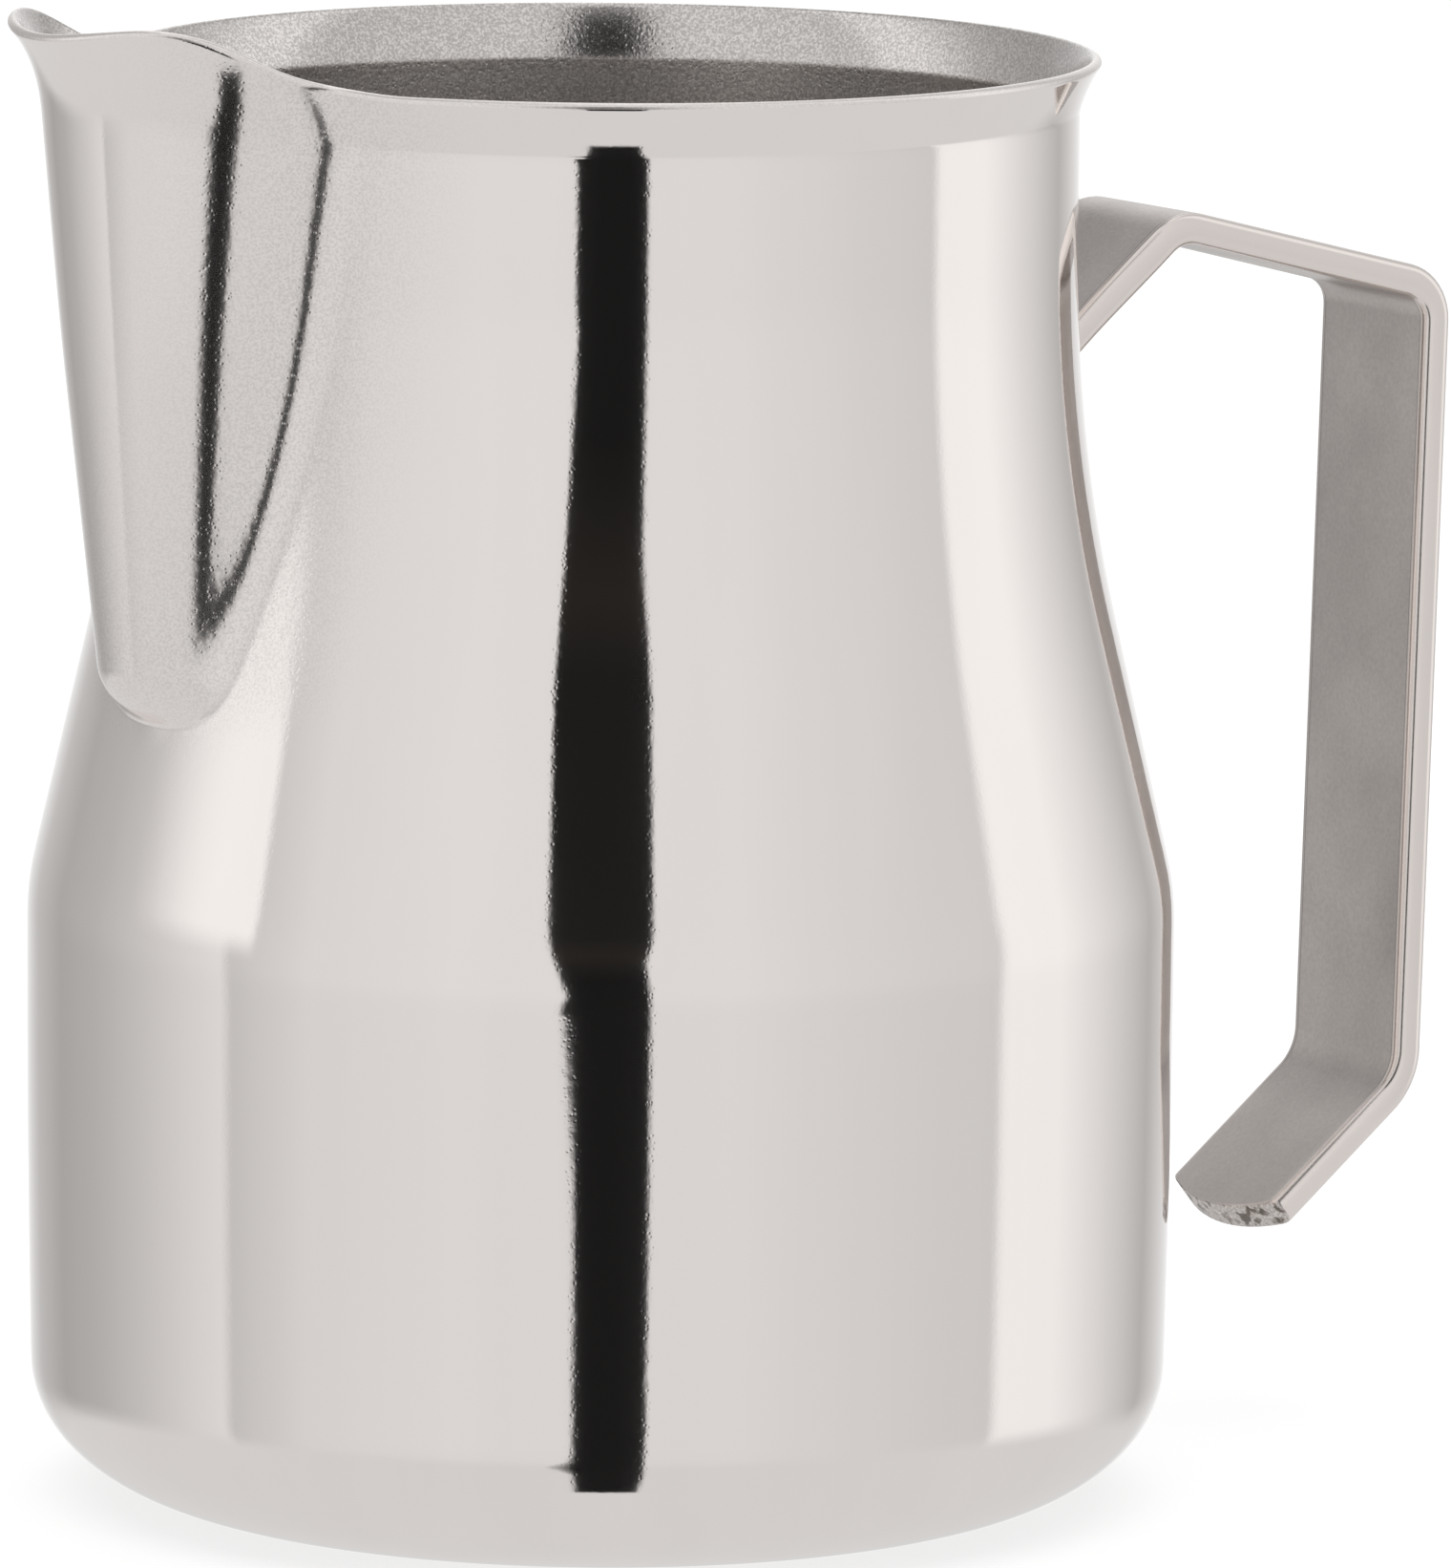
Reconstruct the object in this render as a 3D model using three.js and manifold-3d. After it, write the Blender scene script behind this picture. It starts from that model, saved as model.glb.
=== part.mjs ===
// Milk frothing pitcher: a drawn steel cup with a pressed pouring spout, a handle bent from
// one steel strip, and the two spot welds that hold the handle's tab to the neck.
//
// Millimetres, +Z up. The origin is the centre of the flat base. The handle points along
// +X and the spout along -X.

import * as THREE from 'three';
import { mergeVertices } from 'three/addons/utils/BufferGeometryUtils.js';
import Module from 'manifold-3d';

// ---------------------------------------------------------------- driving dimensions

// Cup, measured on its outer surface.
const rimHeight = 107.2;            // top of the rim, away from the spout
const bellyRadius = 42.5;
const bellyFall = 0.35;             // the belly draws in this far, down to the base's corner
const neckRadius = 34.7;
const wallThickness = 0.8;
const baseCornerWidth = 12.85;      // the corner between base and side is a quarter ellipse
const baseCornerHeight = 10;
const shoulderHeight = 43;          // where the belly ends and the shoulder begins
const shoulderBendHeight = 4.6;     // height of the rounded shoulder
const neckLength = 14.6;            // upright neck and lip, down from the rim
const neckBendHeight = 27;          // height of the long hollow bend into the neck
const lipHeight = 3.85;             // outer face of the flared lip
const lipCreaseRadius = 1.5;        // tight bend where the lip leaves the neck
const lipCreaseTurn = THREE.MathUtils.degToRad(16);
const lipTurn = THREE.MathUtils.degToRad(34);   // lean of the lip at the rim

// Spout, pressed out of the wall: a leaning, tapered round nose.
const spoutLength = 47;             // from the rim down to the toe, where it leaves the wall
const spoutTopProud = 12.2;         // nose beyond the neck, at the rim
const spoutToeProud = 2.9;          // nose beyond the wall, at the toe
const spoutTopRadius = 13.7;        // plan radius of the nose
const spoutToeRadius = 6.8;
const spoutToeCurl = 4;             // how far up the nose rounds in above its lower end
const spoutTopFillet = 3.5;         // width of the hollow blend beside the nose
const spoutToeFillet = 2;
const spoutLipRadius = 8;           // forward curl of the pouring lip
const spoutLipHeight = 6;
const spoutRise = 4.8;              // the rim climbs this far towards the spout
const spoutRiseRun = 16;            // plan length of that climb
const spoutLevelRun = 3.5;          // the last stretch to the tip stays level
const spoutDip = 1.2;               // the pouring edge dips again between the nose's sides
const spoutRiseDepth = 22;          // wall below the rim that stretches with the climb

// Handle, one bent strip. The path is its centre line.
const stripWidth = 14;
const stripThickness = 2.4;
const stripEdgeRadius = 0.8;
const tabHeadDrop = 24.2;           // heights down from the rim
const tabLength = 16;
const archDrop = 14.9;
const gripTopDrop = 20.9;
const archProud = 12.3;             // reach beyond the neck
const gripTopProud = 28.5;          // reaches beyond the belly
const gripFootProud = 26.75;
const tongueProud = 13.9;
const gripFootHeight = 25.5;
const tongueHeight = 15.2;
const tabBend = 3.5;                // centre-line radii of the bends, in path order
const archBend = 3.5;
const gripTopBend = 3.3;
const gripFootBend = 5;
const tongueRadius = 14.5;          // the free end is cut to a shallow arc
const shearAllowance = 1;           // strip left past that arc before it is cut

// Spot welds.
const tabClearance = 0.4;           // between the tab and the neck
const weldClearance = 0.25;         // round each nugget, and between it and the neck
const weldRadius = 2.1;
const weldDent = 0.2;               // the electrode's mark below the tab's face
const weldShares = { upper: 0.75, lower: 0.25 };   // places along the tab's flat length

// Fineness of the facets.
const ringSegments = 72;
const spoutCrowding = 0.68;         // how strongly those segments gather at the spout
const cornerSegments = 5;
const rowSpacing = 5;
const lipSegments = 4;
const bendSegments = 5;
const stripSteps = 6;
const edgeSegments = 2;
const arcSegments = 96;
const weldSegments = 24;
const solvingSteps = 40;            // halvings when a size is found by trial

// ---------------------------------------------------------------- finishes

const polishedSteel = { color: 0xd6d3cf, metalness: 1, roughness: 0.16 };
const satinSteel = { color: 0xb3aca6, metalness: 1, roughness: 0.38 };
const weldedSteel = { color: 0x9a938c, metalness: 1, roughness: 0.5 };

// ---------------------------------------------------------------- the cup's round wall

const { abs, atan, atan2, cos, hypot, max, min, PI, round, sign, sin, sqrt, tan } = Math;

const neckHeight = rimHeight - neckLength;
const neckBend = min(neckBendHeight, neckHeight - shoulderHeight - shoulderBendHeight);
const taperHeight = neckHeight - shoulderHeight - shoulderBendHeight - neckBend;
const lipStart = rimHeight - wallThickness * sin(lipTurn) - lipHeight;
const lipCreaseHeight = lipCreaseRadius * sin(lipCreaseTurn);
const lipRadius = (lipHeight - lipCreaseHeight) / (sin(lipTurn) - sin(lipCreaseTurn));

// The value between low and high at which a test turns false.
function solve(low, high, isLow) {
  for (let i = 0; i < solvingSteps; i += 1) {
    const middle = (low + high) / 2;
    if (isLow(middle)) low = middle;
    else high = middle;
  }
  return high;
}

// Half-angle tangent of the taper that joins belly to neck: the two bends take up
// (bend height * t) of the step each, and the straight taper takes the rest.
function solveTaper(step) {
  const covered = (t) => (shoulderBendHeight + neckBend) * t + taperHeight * 2 * t / (1 - t * t);
  return solve(0, 0.99, (t) => covered(t) < step);
}

const taperAngle = 2 * atan(solveTaper(bellyRadius - neckRadius));
const shoulderRadius = shoulderBendHeight / sin(taperAngle);
const neckBendRadius = neckBend / sin(taperAngle);

// How far an arc that starts upright has moved sideways at a height above its start.
function arcDrift(radius, height) {
  const limited = min(height, radius);
  return radius - sqrt(radius * radius - limited * limited);
}

// How far the flared lip has moved outward at a height above its start.
function lipDrift(height) {
  if (height < lipCreaseHeight) return arcDrift(lipCreaseRadius, max(0, height));
  const lean = min(1, sin(lipCreaseTurn) + (height - lipCreaseHeight) / lipRadius);
  const crease = arcDrift(lipCreaseRadius, lipCreaseHeight);
  return crease + lipRadius * (cos(lipCreaseTurn) - sqrt(1 - lean * lean));
}

// Outer radius of the round wall at a height.
function wallRadius(z) {
  const foot = bellyRadius - bellyFall;
  if (z < baseCornerHeight) {
    const down = 1 - z / baseCornerHeight;
    return foot - baseCornerWidth * (1 - sqrt(max(0, 1 - down * down)));
  }
  if (z < shoulderHeight) {
    const down = (shoulderHeight - z) / (shoulderHeight - baseCornerHeight);
    return bellyRadius - bellyFall * down * down;
  }
  const taperStart = shoulderHeight + shoulderBendHeight;
  if (z < taperStart) return bellyRadius - arcDrift(shoulderRadius, z - shoulderHeight);
  if (z < taperStart + taperHeight) {
    const startRadius = bellyRadius - arcDrift(shoulderRadius, shoulderBendHeight);
    return startRadius - (z - taperStart) * tan(taperAngle);
  }
  if (z < neckHeight) return neckRadius + arcDrift(neckBendRadius, neckHeight - z);
  return neckRadius + lipDrift(z - lipStart);
}

// ---------------------------------------------------------------- the spout

const toeHeight = rimHeight - spoutLength;
const spoutTopReach = neckRadius + spoutTopProud;
const spoutToeReach = wallRadius(toeHeight) + spoutToeProud;
const spoutTipReach = spoutTopReach + arcDrift(spoutLipRadius, spoutLipHeight);

function smoothStep(t) {
  const limited = min(1, max(0, t));
  return limited * limited * (3 - 2 * limited);
}

// Distance that blends into the smaller of two, over a width.
function blendDistance(a, b, width) {
  const share = min(1, max(0, 0.5 + 0.5 * (b - a) / width));
  return b * (1 - share) + a * share - width * share * (1 - share);
}

// The nose's plan circle at a height: its centre's reach, radius and blend width.
function noseAt(z) {
  const up = (z - toeHeight) / spoutLength;
  const inward = arcDrift(spoutToeCurl, max(0, toeHeight + spoutToeCurl - z));
  const outward = arcDrift(spoutLipRadius, max(0, z - rimHeight + spoutLipHeight));
  const straightReach = spoutToeReach + (spoutTopReach - spoutToeReach) * up;
  const straightRadius = spoutToeRadius + (spoutTopRadius - spoutToeRadius) * up;
  return {
    centre: straightReach - straightRadius + outward,
    radius: straightRadius - inward,
    fillet: spoutToeFillet + (spoutTopFillet - spoutToeFillet) * max(0, up),
  };
}

// Signed plan distance from the cup's outer surface, forward being towards the spout.
function planDistance(forward, aside, z) {
  const toWall = hypot(forward, aside) - wallRadius(z);
  if (z < toeHeight - spoutToeCurl) return toWall;
  const nose = noseAt(z);
  const toNose = hypot(forward - nose.centre, aside) - nose.radius;
  return blendDistance(toWall, toNose, nose.fillet);
}

// Radius, along one direction, of the surface that lies a plan depth inside the outer one.
function pressedRadius(angle, z, depth) {
  const isInside = (r) => planDistance(r * cos(angle), r * sin(angle), z) < -depth;
  return solve(neckRadius / 2, spoutTipReach + spoutTopFillet, isInside);
}

// How far the rim and the wall just below it climb at a plan point.
function rimClimb(forward, aside, z) {
  const climb = smoothStep(1 - (spoutTipReach - spoutLevelRun - forward) / spoutRiseRun);
  const dip = smoothStep(1 - abs(aside) / spoutTopRadius);
  const share = smoothStep(1 - (rimHeight - z) / spoutRiseDepth);
  return (spoutRise * climb - spoutDip * dip * climb) * share;
}

// ---------------------------------------------------------------- the cup

// Heights of the rings of facets, from the base's edge to the rim's outer edge.
function ringHeights() {
  const heights = [];
  for (let i = 0; i < cornerSegments; i += 1) {
    heights.push(baseCornerHeight * (1 - cos(PI / 2 * i / cornerSegments)));
  }
  const rows = round((lipStart - baseCornerHeight) / rowSpacing);
  for (let i = 0; i < rows; i += 1) {
    heights.push(baseCornerHeight + (lipStart - baseCornerHeight) * i / rows);
  }
  heights.push(lipStart);
  for (let i = 0; i <= lipSegments; i += 1) {
    heights.push(lipStart + lipCreaseHeight + (lipHeight - lipCreaseHeight) * i / lipSegments);
  }
  return heights;
}

// Closed profile of the round cup, up the outside and down the inside.
function cupProfile() {
  const outside = ringHeights().map((z) => new THREE.Vector2(wallRadius(z), z));
  const inside = outside.map((point, i) => {
    const before = outside[max(0, i - 1)];
    const after = outside[min(outside.length - 1, i + 1)];
    const along = after.clone().sub(before).normalize();
    return new THREE.Vector2(point.x - along.y * wallThickness, point.y + along.x * wallThickness);
  });
  const floorEdge = new THREE.Vector2(inside[0].x, wallThickness);
  const insideWall = inside.filter((point) => point.y > 1.25 * wallThickness).reverse();
  return [
    new THREE.Vector2(0, 0),
    ...outside,
    ...insideWall,
    floorEdge,
    new THREE.Vector2(0, wallThickness),
  ];
}

// The round cup is turned first, and the spout is then pressed out of its wall.
function makeCup() {
  const profile = cupProfile();
  const cup = new THREE.LatheGeometry(profile, ringSegments);
  const position = cup.attributes.position;
  for (let column = 0; column <= ringSegments; column += 1) {
    const even = 2 * PI * column / ringSegments - PI;
    const angle = even - spoutCrowding * sin(even);
    profile.forEach((point, row) => {
      let radius = point.x;
      let height = point.y;
      if (height > toeHeight - spoutToeCurl) {
        radius = pressedRadius(angle, height, wallRadius(height) - point.x);
        height += rimClimb(radius * cos(angle), radius * sin(angle), height);
      }
      const index = column * profile.length + row;
      position.setXYZ(index, -radius * cos(angle), -radius * sin(angle), height);
    });
  }
  return cup;
}

// ---------------------------------------------------------------- the handle

function tabPoint(z) {
  return new THREE.Vector2(wallRadius(z) + tabClearance + stripThickness / 2, z);
}

const tabHead = tabPoint(rimHeight - tabHeadDrop);
const tabFoot = tabPoint(rimHeight - tabHeadDrop - tabLength);
const arch = new THREE.Vector2(neckRadius + archProud, rimHeight - archDrop);
const gripTop = new THREE.Vector2(bellyRadius + gripTopProud, rimHeight - gripTopDrop);
const gripFoot = new THREE.Vector2(bellyRadius + gripFootProud, gripFootHeight);
const tongueEnd = new THREE.Vector2(bellyRadius + tongueProud, tongueHeight);

const tongueLine = tongueEnd.clone().sub(gripFoot).normalize();
const uncutEnd = tongueEnd.clone().addScaledVector(tongueLine, shearAllowance);

const handlePath = [tabFoot, tabHead, arch, gripTop, gripFoot, uncutEnd];
const handleBends = [tabBend, archBend, gripTopBend, gripFootBend];

// Side outline of a strip of even thickness along a path with rounded corners.
function stripOutline(path, bends, thickness) {
  const half = thickness / 2;
  const corners = bends.map((radius, i) => {
    const point = path[i + 1];
    const along = point.clone().sub(path[i]).normalize();
    const next = path[i + 2].clone().sub(point).normalize();
    const turn = atan2(along.cross(next), along.dot(next));
    const side = sign(turn);
    const toCentre = new THREE.Vector2(-along.y, along.x).multiplyScalar(side * radius);
    const bendStart = point.clone().addScaledVector(along, -radius * tan(abs(turn) / 2));
    const centre = bendStart.add(toCentre);
    const start = atan2(-toCentre.y, -toCentre.x);
    return { centre, radius, side, start, end: start + turn };
  });
  const edgePoint = (i, towards, side) => {
    const along = path[towards].clone().sub(path[i]).normalize();
    return path[i].clone().add(new THREE.Vector2(-along.y, along.x).multiplyScalar(side * half));
  };
  const last = path.length - 1;
  const outline = new THREE.Shape();
  outline.moveTo(...edgePoint(0, 1, -1));
  outline.lineTo(...edgePoint(0, 1, 1));
  for (const { centre, radius, side, start, end } of corners) {
    outline.absarc(centre.x, centre.y, radius - side * half, start, end, side < 0);
  }
  outline.lineTo(...edgePoint(last, last - 1, -1));
  outline.lineTo(...edgePoint(last, last - 1, 1));
  for (const { centre, radius, side, start, end } of [...corners].reverse()) {
    outline.absarc(centre.x, centre.y, radius + side * half, end, start, side > 0);
  }
  return outline;
}

// The strip before its end is cut: bars of even width with rounded edges, whose tab is
// pressed to the roundness of the neck.
function bentStrip() {
  const strip = new THREE.ExtrudeGeometry(stripOutline(handlePath, handleBends, stripThickness), {
    depth: stripWidth - 2 * stripEdgeRadius,
    steps: stripSteps,
    curveSegments: bendSegments,
    bevelThickness: stripEdgeRadius,
    bevelSize: stripEdgeRadius,
    bevelOffset: -stripEdgeRadius,
    bevelSegments: edgeSegments,
  });
  strip.translate(0, 0, stripEdgeRadius - stripWidth / 2);
  strip.rotateX(PI / 2);
  const position = strip.attributes.position;
  for (let i = 0; i < position.count; i += 1) {
    const x = position.getX(i);
    const y = position.getY(i);
    const radius = wallRadius(position.getZ(i));
    const hold = smoothStep((arch.x - x) / (arch.x - tabFoot.x));
    position.setX(i, x - hold * (radius - sqrt(radius * radius - y * y)));
  }
  return strip;
}

// ---------------------------------------------------------------- joining and cutting

const wasm = await Module();
wasm.setup();

function toSolid(geometry) {
  const bare = geometry.clone();
  bare.deleteAttribute('normal');
  bare.deleteAttribute('uv');
  const merged = mergeVertices(bare);
  return new wasm.Manifold(new wasm.Mesh({
    numProp: 3,
    vertProperties: merged.attributes.position.array,
    triVerts: new Uint32Array(merged.index.array),
  }));
}

function toGeometry(solid) {
  const mesh = solid.getMesh();
  const geometry = new THREE.BufferGeometry();
  geometry.setAttribute('position', new THREE.BufferAttribute(mesh.vertProperties, 3));
  geometry.setIndex(new THREE.BufferAttribute(mesh.triVerts, 1));
  geometry.computeVertexNormals();
  return geometry;
}

// What the shears take off the free end: everything past an arc across the strip.
function endOffcut() {
  const size = 2 * stripWidth;
  const block = new THREE.BoxGeometry(size, size, size);
  block.translate((size - tongueRadius) / 2, 0, 0);
  const kept = new THREE.CylinderGeometry(tongueRadius, tongueRadius, 2 * size, arcSegments);
  kept.rotateX(PI / 2);
  kept.translate(-tongueRadius, 0, 0);
  const place = new THREE.Matrix4().makeRotationY(-tongueLine.angle());
  place.setPosition(tongueEnd.x, 0, tongueEnd.y);
  return toSolid(block.applyMatrix4(place)).subtract(toSolid(kept.applyMatrix4(place)));
}

// ---------------------------------------------------------------- the spot welds

const tabDirection = tabHead.clone().sub(tabFoot).normalize();
const tabLean = atan2(-tabDirection.x, tabDirection.y);
const tabTurn = arch.clone().sub(tabHead).angle() - tabDirection.angle();
const tabFlat = tabHead.distanceTo(tabFoot) - tabBend * tan(abs(tabTurn) / 2);

// A round plug square to the tab, a share of the way up it, between two depths from its
// centre line.
function weldPlug(share, radius, inner, outer) {
  const up = share * tabFlat;
  const plug = new THREE.CylinderGeometry(radius, radius, outer - inner, weldSegments);
  plug.rotateZ(-PI / 2);
  plug.translate((inner + outer) / 2, 0, 0);
  plug.rotateY(-tabLean);
  plug.translate(tabFoot.x + tabDirection.x * up, 0, tabFoot.y + tabDirection.y * up);
  return plug;
}

const weldInner = -stripThickness / 2 - tabClearance + weldClearance;
const weldOuter = stripThickness / 2 - weldDent;

// ---------------------------------------------------------------- assembly

function makeHandle() {
  let handle = toSolid(bentStrip()).subtract(endOffcut());
  for (const share of Object.values(weldShares)) {
    const hole = weldPlug(share, weldRadius + weldClearance, -stripThickness, stripThickness);
    handle = handle.subtract(toSolid(hole));
  }
  return toGeometry(handle);
}

function part(name, geometry, finish) {
  const mesh = new THREE.Mesh(geometry, new THREE.MeshStandardMaterial(finish));
  mesh.name = name;
  return mesh;
}

const pitcher = new THREE.Group();
pitcher.add(part('pitcher_body', makeCup(), polishedSteel));

const handleGroup = new THREE.Group();
handleGroup.add(part('handle_strip', makeHandle(), satinSteel));
for (const [place, share] of Object.entries(weldShares)) {
  const nugget = weldPlug(share, weldRadius, weldInner, weldOuter);
  handleGroup.add(part(`spot_weld_${place}`, nugget, weldedSteel));
}
pitcher.add(handleGroup);

export default pitcher;
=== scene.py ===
"""A milk frothing pitcher: a drawn cup with a pressed spout, a handle bent from one strip, and two welds.

Lengths are in metres. The origin is the centre of the flat base, the handle points along +X, the spout
along -X, and +Z is up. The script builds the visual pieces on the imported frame, in a plain studio.
"""

import math

import bmesh
import bpy
from bpy.props import FloatProperty, FloatVectorProperty, IntProperty, PointerProperty
from mathutils import Matrix, Vector


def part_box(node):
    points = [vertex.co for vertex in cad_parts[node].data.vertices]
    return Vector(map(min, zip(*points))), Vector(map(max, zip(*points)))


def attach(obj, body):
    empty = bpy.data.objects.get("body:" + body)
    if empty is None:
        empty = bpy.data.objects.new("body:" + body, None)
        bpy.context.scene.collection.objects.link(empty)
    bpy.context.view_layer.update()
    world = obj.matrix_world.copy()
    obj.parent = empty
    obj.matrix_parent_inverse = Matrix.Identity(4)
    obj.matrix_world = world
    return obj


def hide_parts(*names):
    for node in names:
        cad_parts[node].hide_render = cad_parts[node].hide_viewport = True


bl_info = {
    "name": "Milk frothing pitcher",
    "version": (1, 0, 0),
    "blender": (4, 5, 0),
    "location": "3D View > Sidebar > Pitcher",
    "description": "Builds a steel milk frothing pitcher piece by piece",
    "category": "Object",
}

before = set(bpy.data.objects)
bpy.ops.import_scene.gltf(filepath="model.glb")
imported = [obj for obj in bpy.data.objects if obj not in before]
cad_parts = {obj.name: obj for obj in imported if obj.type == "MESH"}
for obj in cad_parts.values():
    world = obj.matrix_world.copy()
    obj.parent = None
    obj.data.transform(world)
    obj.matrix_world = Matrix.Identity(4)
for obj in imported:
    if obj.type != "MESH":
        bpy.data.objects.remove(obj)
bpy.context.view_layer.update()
cup_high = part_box("pitcher_body")[1]
strip_low, strip_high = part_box("handle_strip")

MILLIMETRE = 0.001
SOLVED = 1e-7
# Points nearer than this to a plane lie in it.
TOUCH = 0.01 * MILLIMETRE
MERGED = 0.001 * MILLIMETRE
# Rows of faces up the cup. They are finer where its outline bends most.
BASE_ROWS = 4
CORNER_ROWS = 16
CREASE_ROWS = 4
LIP_ROWS = 8
ROW_HEIGHT = 0.95 * MILLIMETRE
TOE_ROW_HEIGHT = 0.3 * MILLIMETRE
# How far the working of the sheet reaches beside the spout's nose, and up from its toe.
STRAIN_REACH = 13.0 * MILLIMETRE
STRAIN_FADE = 10.0 * MILLIMETRE
# Material places on the cup and the strip.
INNER_FINISH = 1
RIM_FINISH = 2
SHEARED_END = 1
# Faces across, through and along the strip. Its first runs curl to the neck, so they have steps.
STRIP_COLUMNS = 14
STRIP_LAYERS = 2
STRIP_STEP = 1.5 * MILLIMETRE
BEND_STEPS = 10
CURLED_RUNS = 2
# Where each spot weld sits, as a share of the way up the tab's flat length.
WELD_SHARES = {"spot_weld_upper": 0.75, "spot_weld_lower": 0.25}
WELD_FACES = 64
# The electrode's mark: its margin as a share of the weld, and its floor's share of its mouth.
DENT_MARGIN = 0.3
DENT_FLOOR = 0.8
WELD_EDGE = 0.12 * MILLIMETRE
WELD_EDGE_ANGLE = 0.5


# ---------------------------------------------------------------- sizes and finishes


def length(name, millimetres, description):
    """A property that holds a length."""
    return FloatProperty(
        name=name,
        description=description,
        default=millimetres * MILLIMETRE,
        min=0.0,
        precision=5,
        subtype="DISTANCE",
        unit="LENGTH",
    )


def turn(name, degrees, description):
    """A property that holds an angle."""
    return FloatProperty(
        name=name,
        description=description,
        default=math.radians(degrees),
        subtype="ANGLE",
        unit="ROTATION",
    )


def share(name, value, description):
    """A property that holds a share from 0 to 1."""
    return FloatProperty(
        name=name, description=description, default=value, min=0.0, max=1.0, subtype="FACTOR"
    )


def colour(name, value, description):
    """A property that holds a linear colour."""
    return FloatVectorProperty(
        name=name, description=description, default=value, min=0.0, max=1.0, size=3, subtype="COLOR"
    )


class CupSizes(bpy.types.PropertyGroup):
    """The round cup, measured on its outer surface"""

    rim_height: length("Rim height", 107.2, "Top of the rim, away from the spout")
    belly_radius: length("Belly radius", cup_high.y / MILLIMETRE, "Radius of the widest part")
    neck_radius: length("Neck radius", 34.7, "Radius of the upright neck")
    wall: length("Wall", 0.8, "Thickness of the sheet")
    belly_fall: length("Belly fall", 0.35, "How far the belly draws in, down to the base's corner")
    corner_width: length("Base corner width", 12.85, "Plan width of the rounded corner at the base")
    corner_height: length("Base corner height", 10.0, "Height of the rounded corner at the base")
    shoulder_height: length("Shoulder height", 43.0, "Where the upright belly ends")
    shoulder_bend: length("Shoulder bend", 4.6, "Height of the rounded shoulder")
    neck_length: length("Neck length", 14.6, "Upright neck and lip, down from the rim")
    neck_bend: length("Neck bend", 27.0, "Height of the long hollow bend into the neck")
    lip_height: length("Lip height", 3.85, "Height of the flared lip's outer face")
    crease_radius: length("Lip crease radius", 1.5, "Tight bend where the lip leaves the neck")
    crease_turn: turn("Lip crease turn", 16.0, "Lean of the lip just above that bend")
    lip_turn: turn("Lip turn", 34.0, "Lean of the lip at the rim")
    rim_round: length("Rim rounding", 0.3, "Rounding of the rim's two edges")
    columns: IntProperty(name="Columns", description="Faces round the cup", default=256, min=48, max=300)


class SpoutSizes(bpy.types.PropertyGroup):
    """The pouring spout, a leaning round nose pressed out of the wall"""

    drop: length("Length", 47.0, "From the rim down to the toe, where the spout leaves the wall")
    top_proud: length("Top reach", 12.2, "Nose beyond the neck, at the rim")
    toe_proud: length("Toe reach", 2.9, "Nose beyond the wall, at the toe")
    top_radius: length("Top radius", 13.7, "Plan radius of the nose at the rim")
    toe_radius: length("Toe radius", 6.8, "Plan radius of the nose at the toe")
    toe_curl: length("Toe curl", 4.0, "How far up the nose rounds in above its lower end")
    top_fillet: length("Top fillet", 3.5, "Width of the hollow blend beside the nose at the rim")
    toe_fillet: length("Toe fillet", 2.0, "Width of the hollow blend beside the nose at the toe")
    lip_radius: length("Lip radius", 8.0, "Radius of the pouring lip's curl")
    lip_height: length("Lip height", 6.0, "Height of the pouring lip's curl")
    rise: length("Rise", 4.8, "How far the rim climbs towards the spout")
    rise_run: length("Rise run", 16.0, "Plan length of that climb")
    level_run: length("Level run", 3.5, "The last stretch to the tip stays level")
    dip: length("Dip", 1.2, "How far the pouring edge dips between the nose's sides")
    rise_depth: length("Rise depth", 22.0, "Wall below the rim that stretches with the climb")
    crowding: share("Crowding", 0.5, "How strongly the faces round the cup gather at the spout")


class HandleSizes(bpy.types.PropertyGroup):
    """The handle, one bent strip; its path is the centre line"""

    width: length("Strip width", (strip_high.y - strip_low.y) / MILLIMETRE, "Width of the strip")
    thickness: length("Strip thickness", 2.4, "Thickness of the strip")
    edge_radius: length("Edge radius", 0.8, "Rounding of the strip's long edges")
    end_radius: length("End edge radius", 0.22, "Rounding of the edges round the two cut ends")
    tab_head_drop: length("Tab head drop", 24.2, "Upper end of the tab, down from the rim")
    tab_length: length("Tab length", 16.0, "Length of the tab that lies on the neck")
    tab_clearance: length("Tab clearance", 0.4, "Gap between the tab and the neck")
    arch_drop: length("Arch drop", 14.9, "Top of the rising leg, down from the rim")
    grip_top_drop: length("Grip top drop", 20.9, "Top of the grip, down from the rim")
    arch_proud: length("Arch reach", 12.3, "Top of the rising leg beyond the neck")
    grip_top_proud: length("Grip top reach", 28.5, "Top of the grip beyond the belly")
    grip_foot_proud: length("Grip foot reach", 26.75, "Foot of the grip beyond the belly")
    tongue_proud: length("Tongue reach", 13.9, "Free end beyond the belly")
    grip_foot_height: length("Grip foot height", 25.5, "Height of the grip's foot")
    tongue_height: length("Tongue height", 15.2, "Height of the free end")
    tab_bend: length("Tab bend", 3.5, "Centre-line radius of the bend above the tab")
    arch_bend: length("Arch bend", 3.5, "Centre-line radius of the bend at the top of the rising leg")
    grip_top_bend: length("Grip top bend", 3.3, "Centre-line radius of the bend at the top of the grip")
    grip_foot_bend: length("Grip foot bend", 5.0, "Centre-line radius of the bend at the foot of the grip")
    tongue_radius: length("Tongue radius", 14.5, "The free end is cut to this shallow arc")
    weld_radius: length("Weld radius", 2.1, "Radius of each spot weld")
    weld_clearance: length("Weld clearance", 0.25, "Gap round each spot weld")
    weld_dent: length("Weld dent", 0.2, "The electrode's mark below the tab's face")


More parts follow.
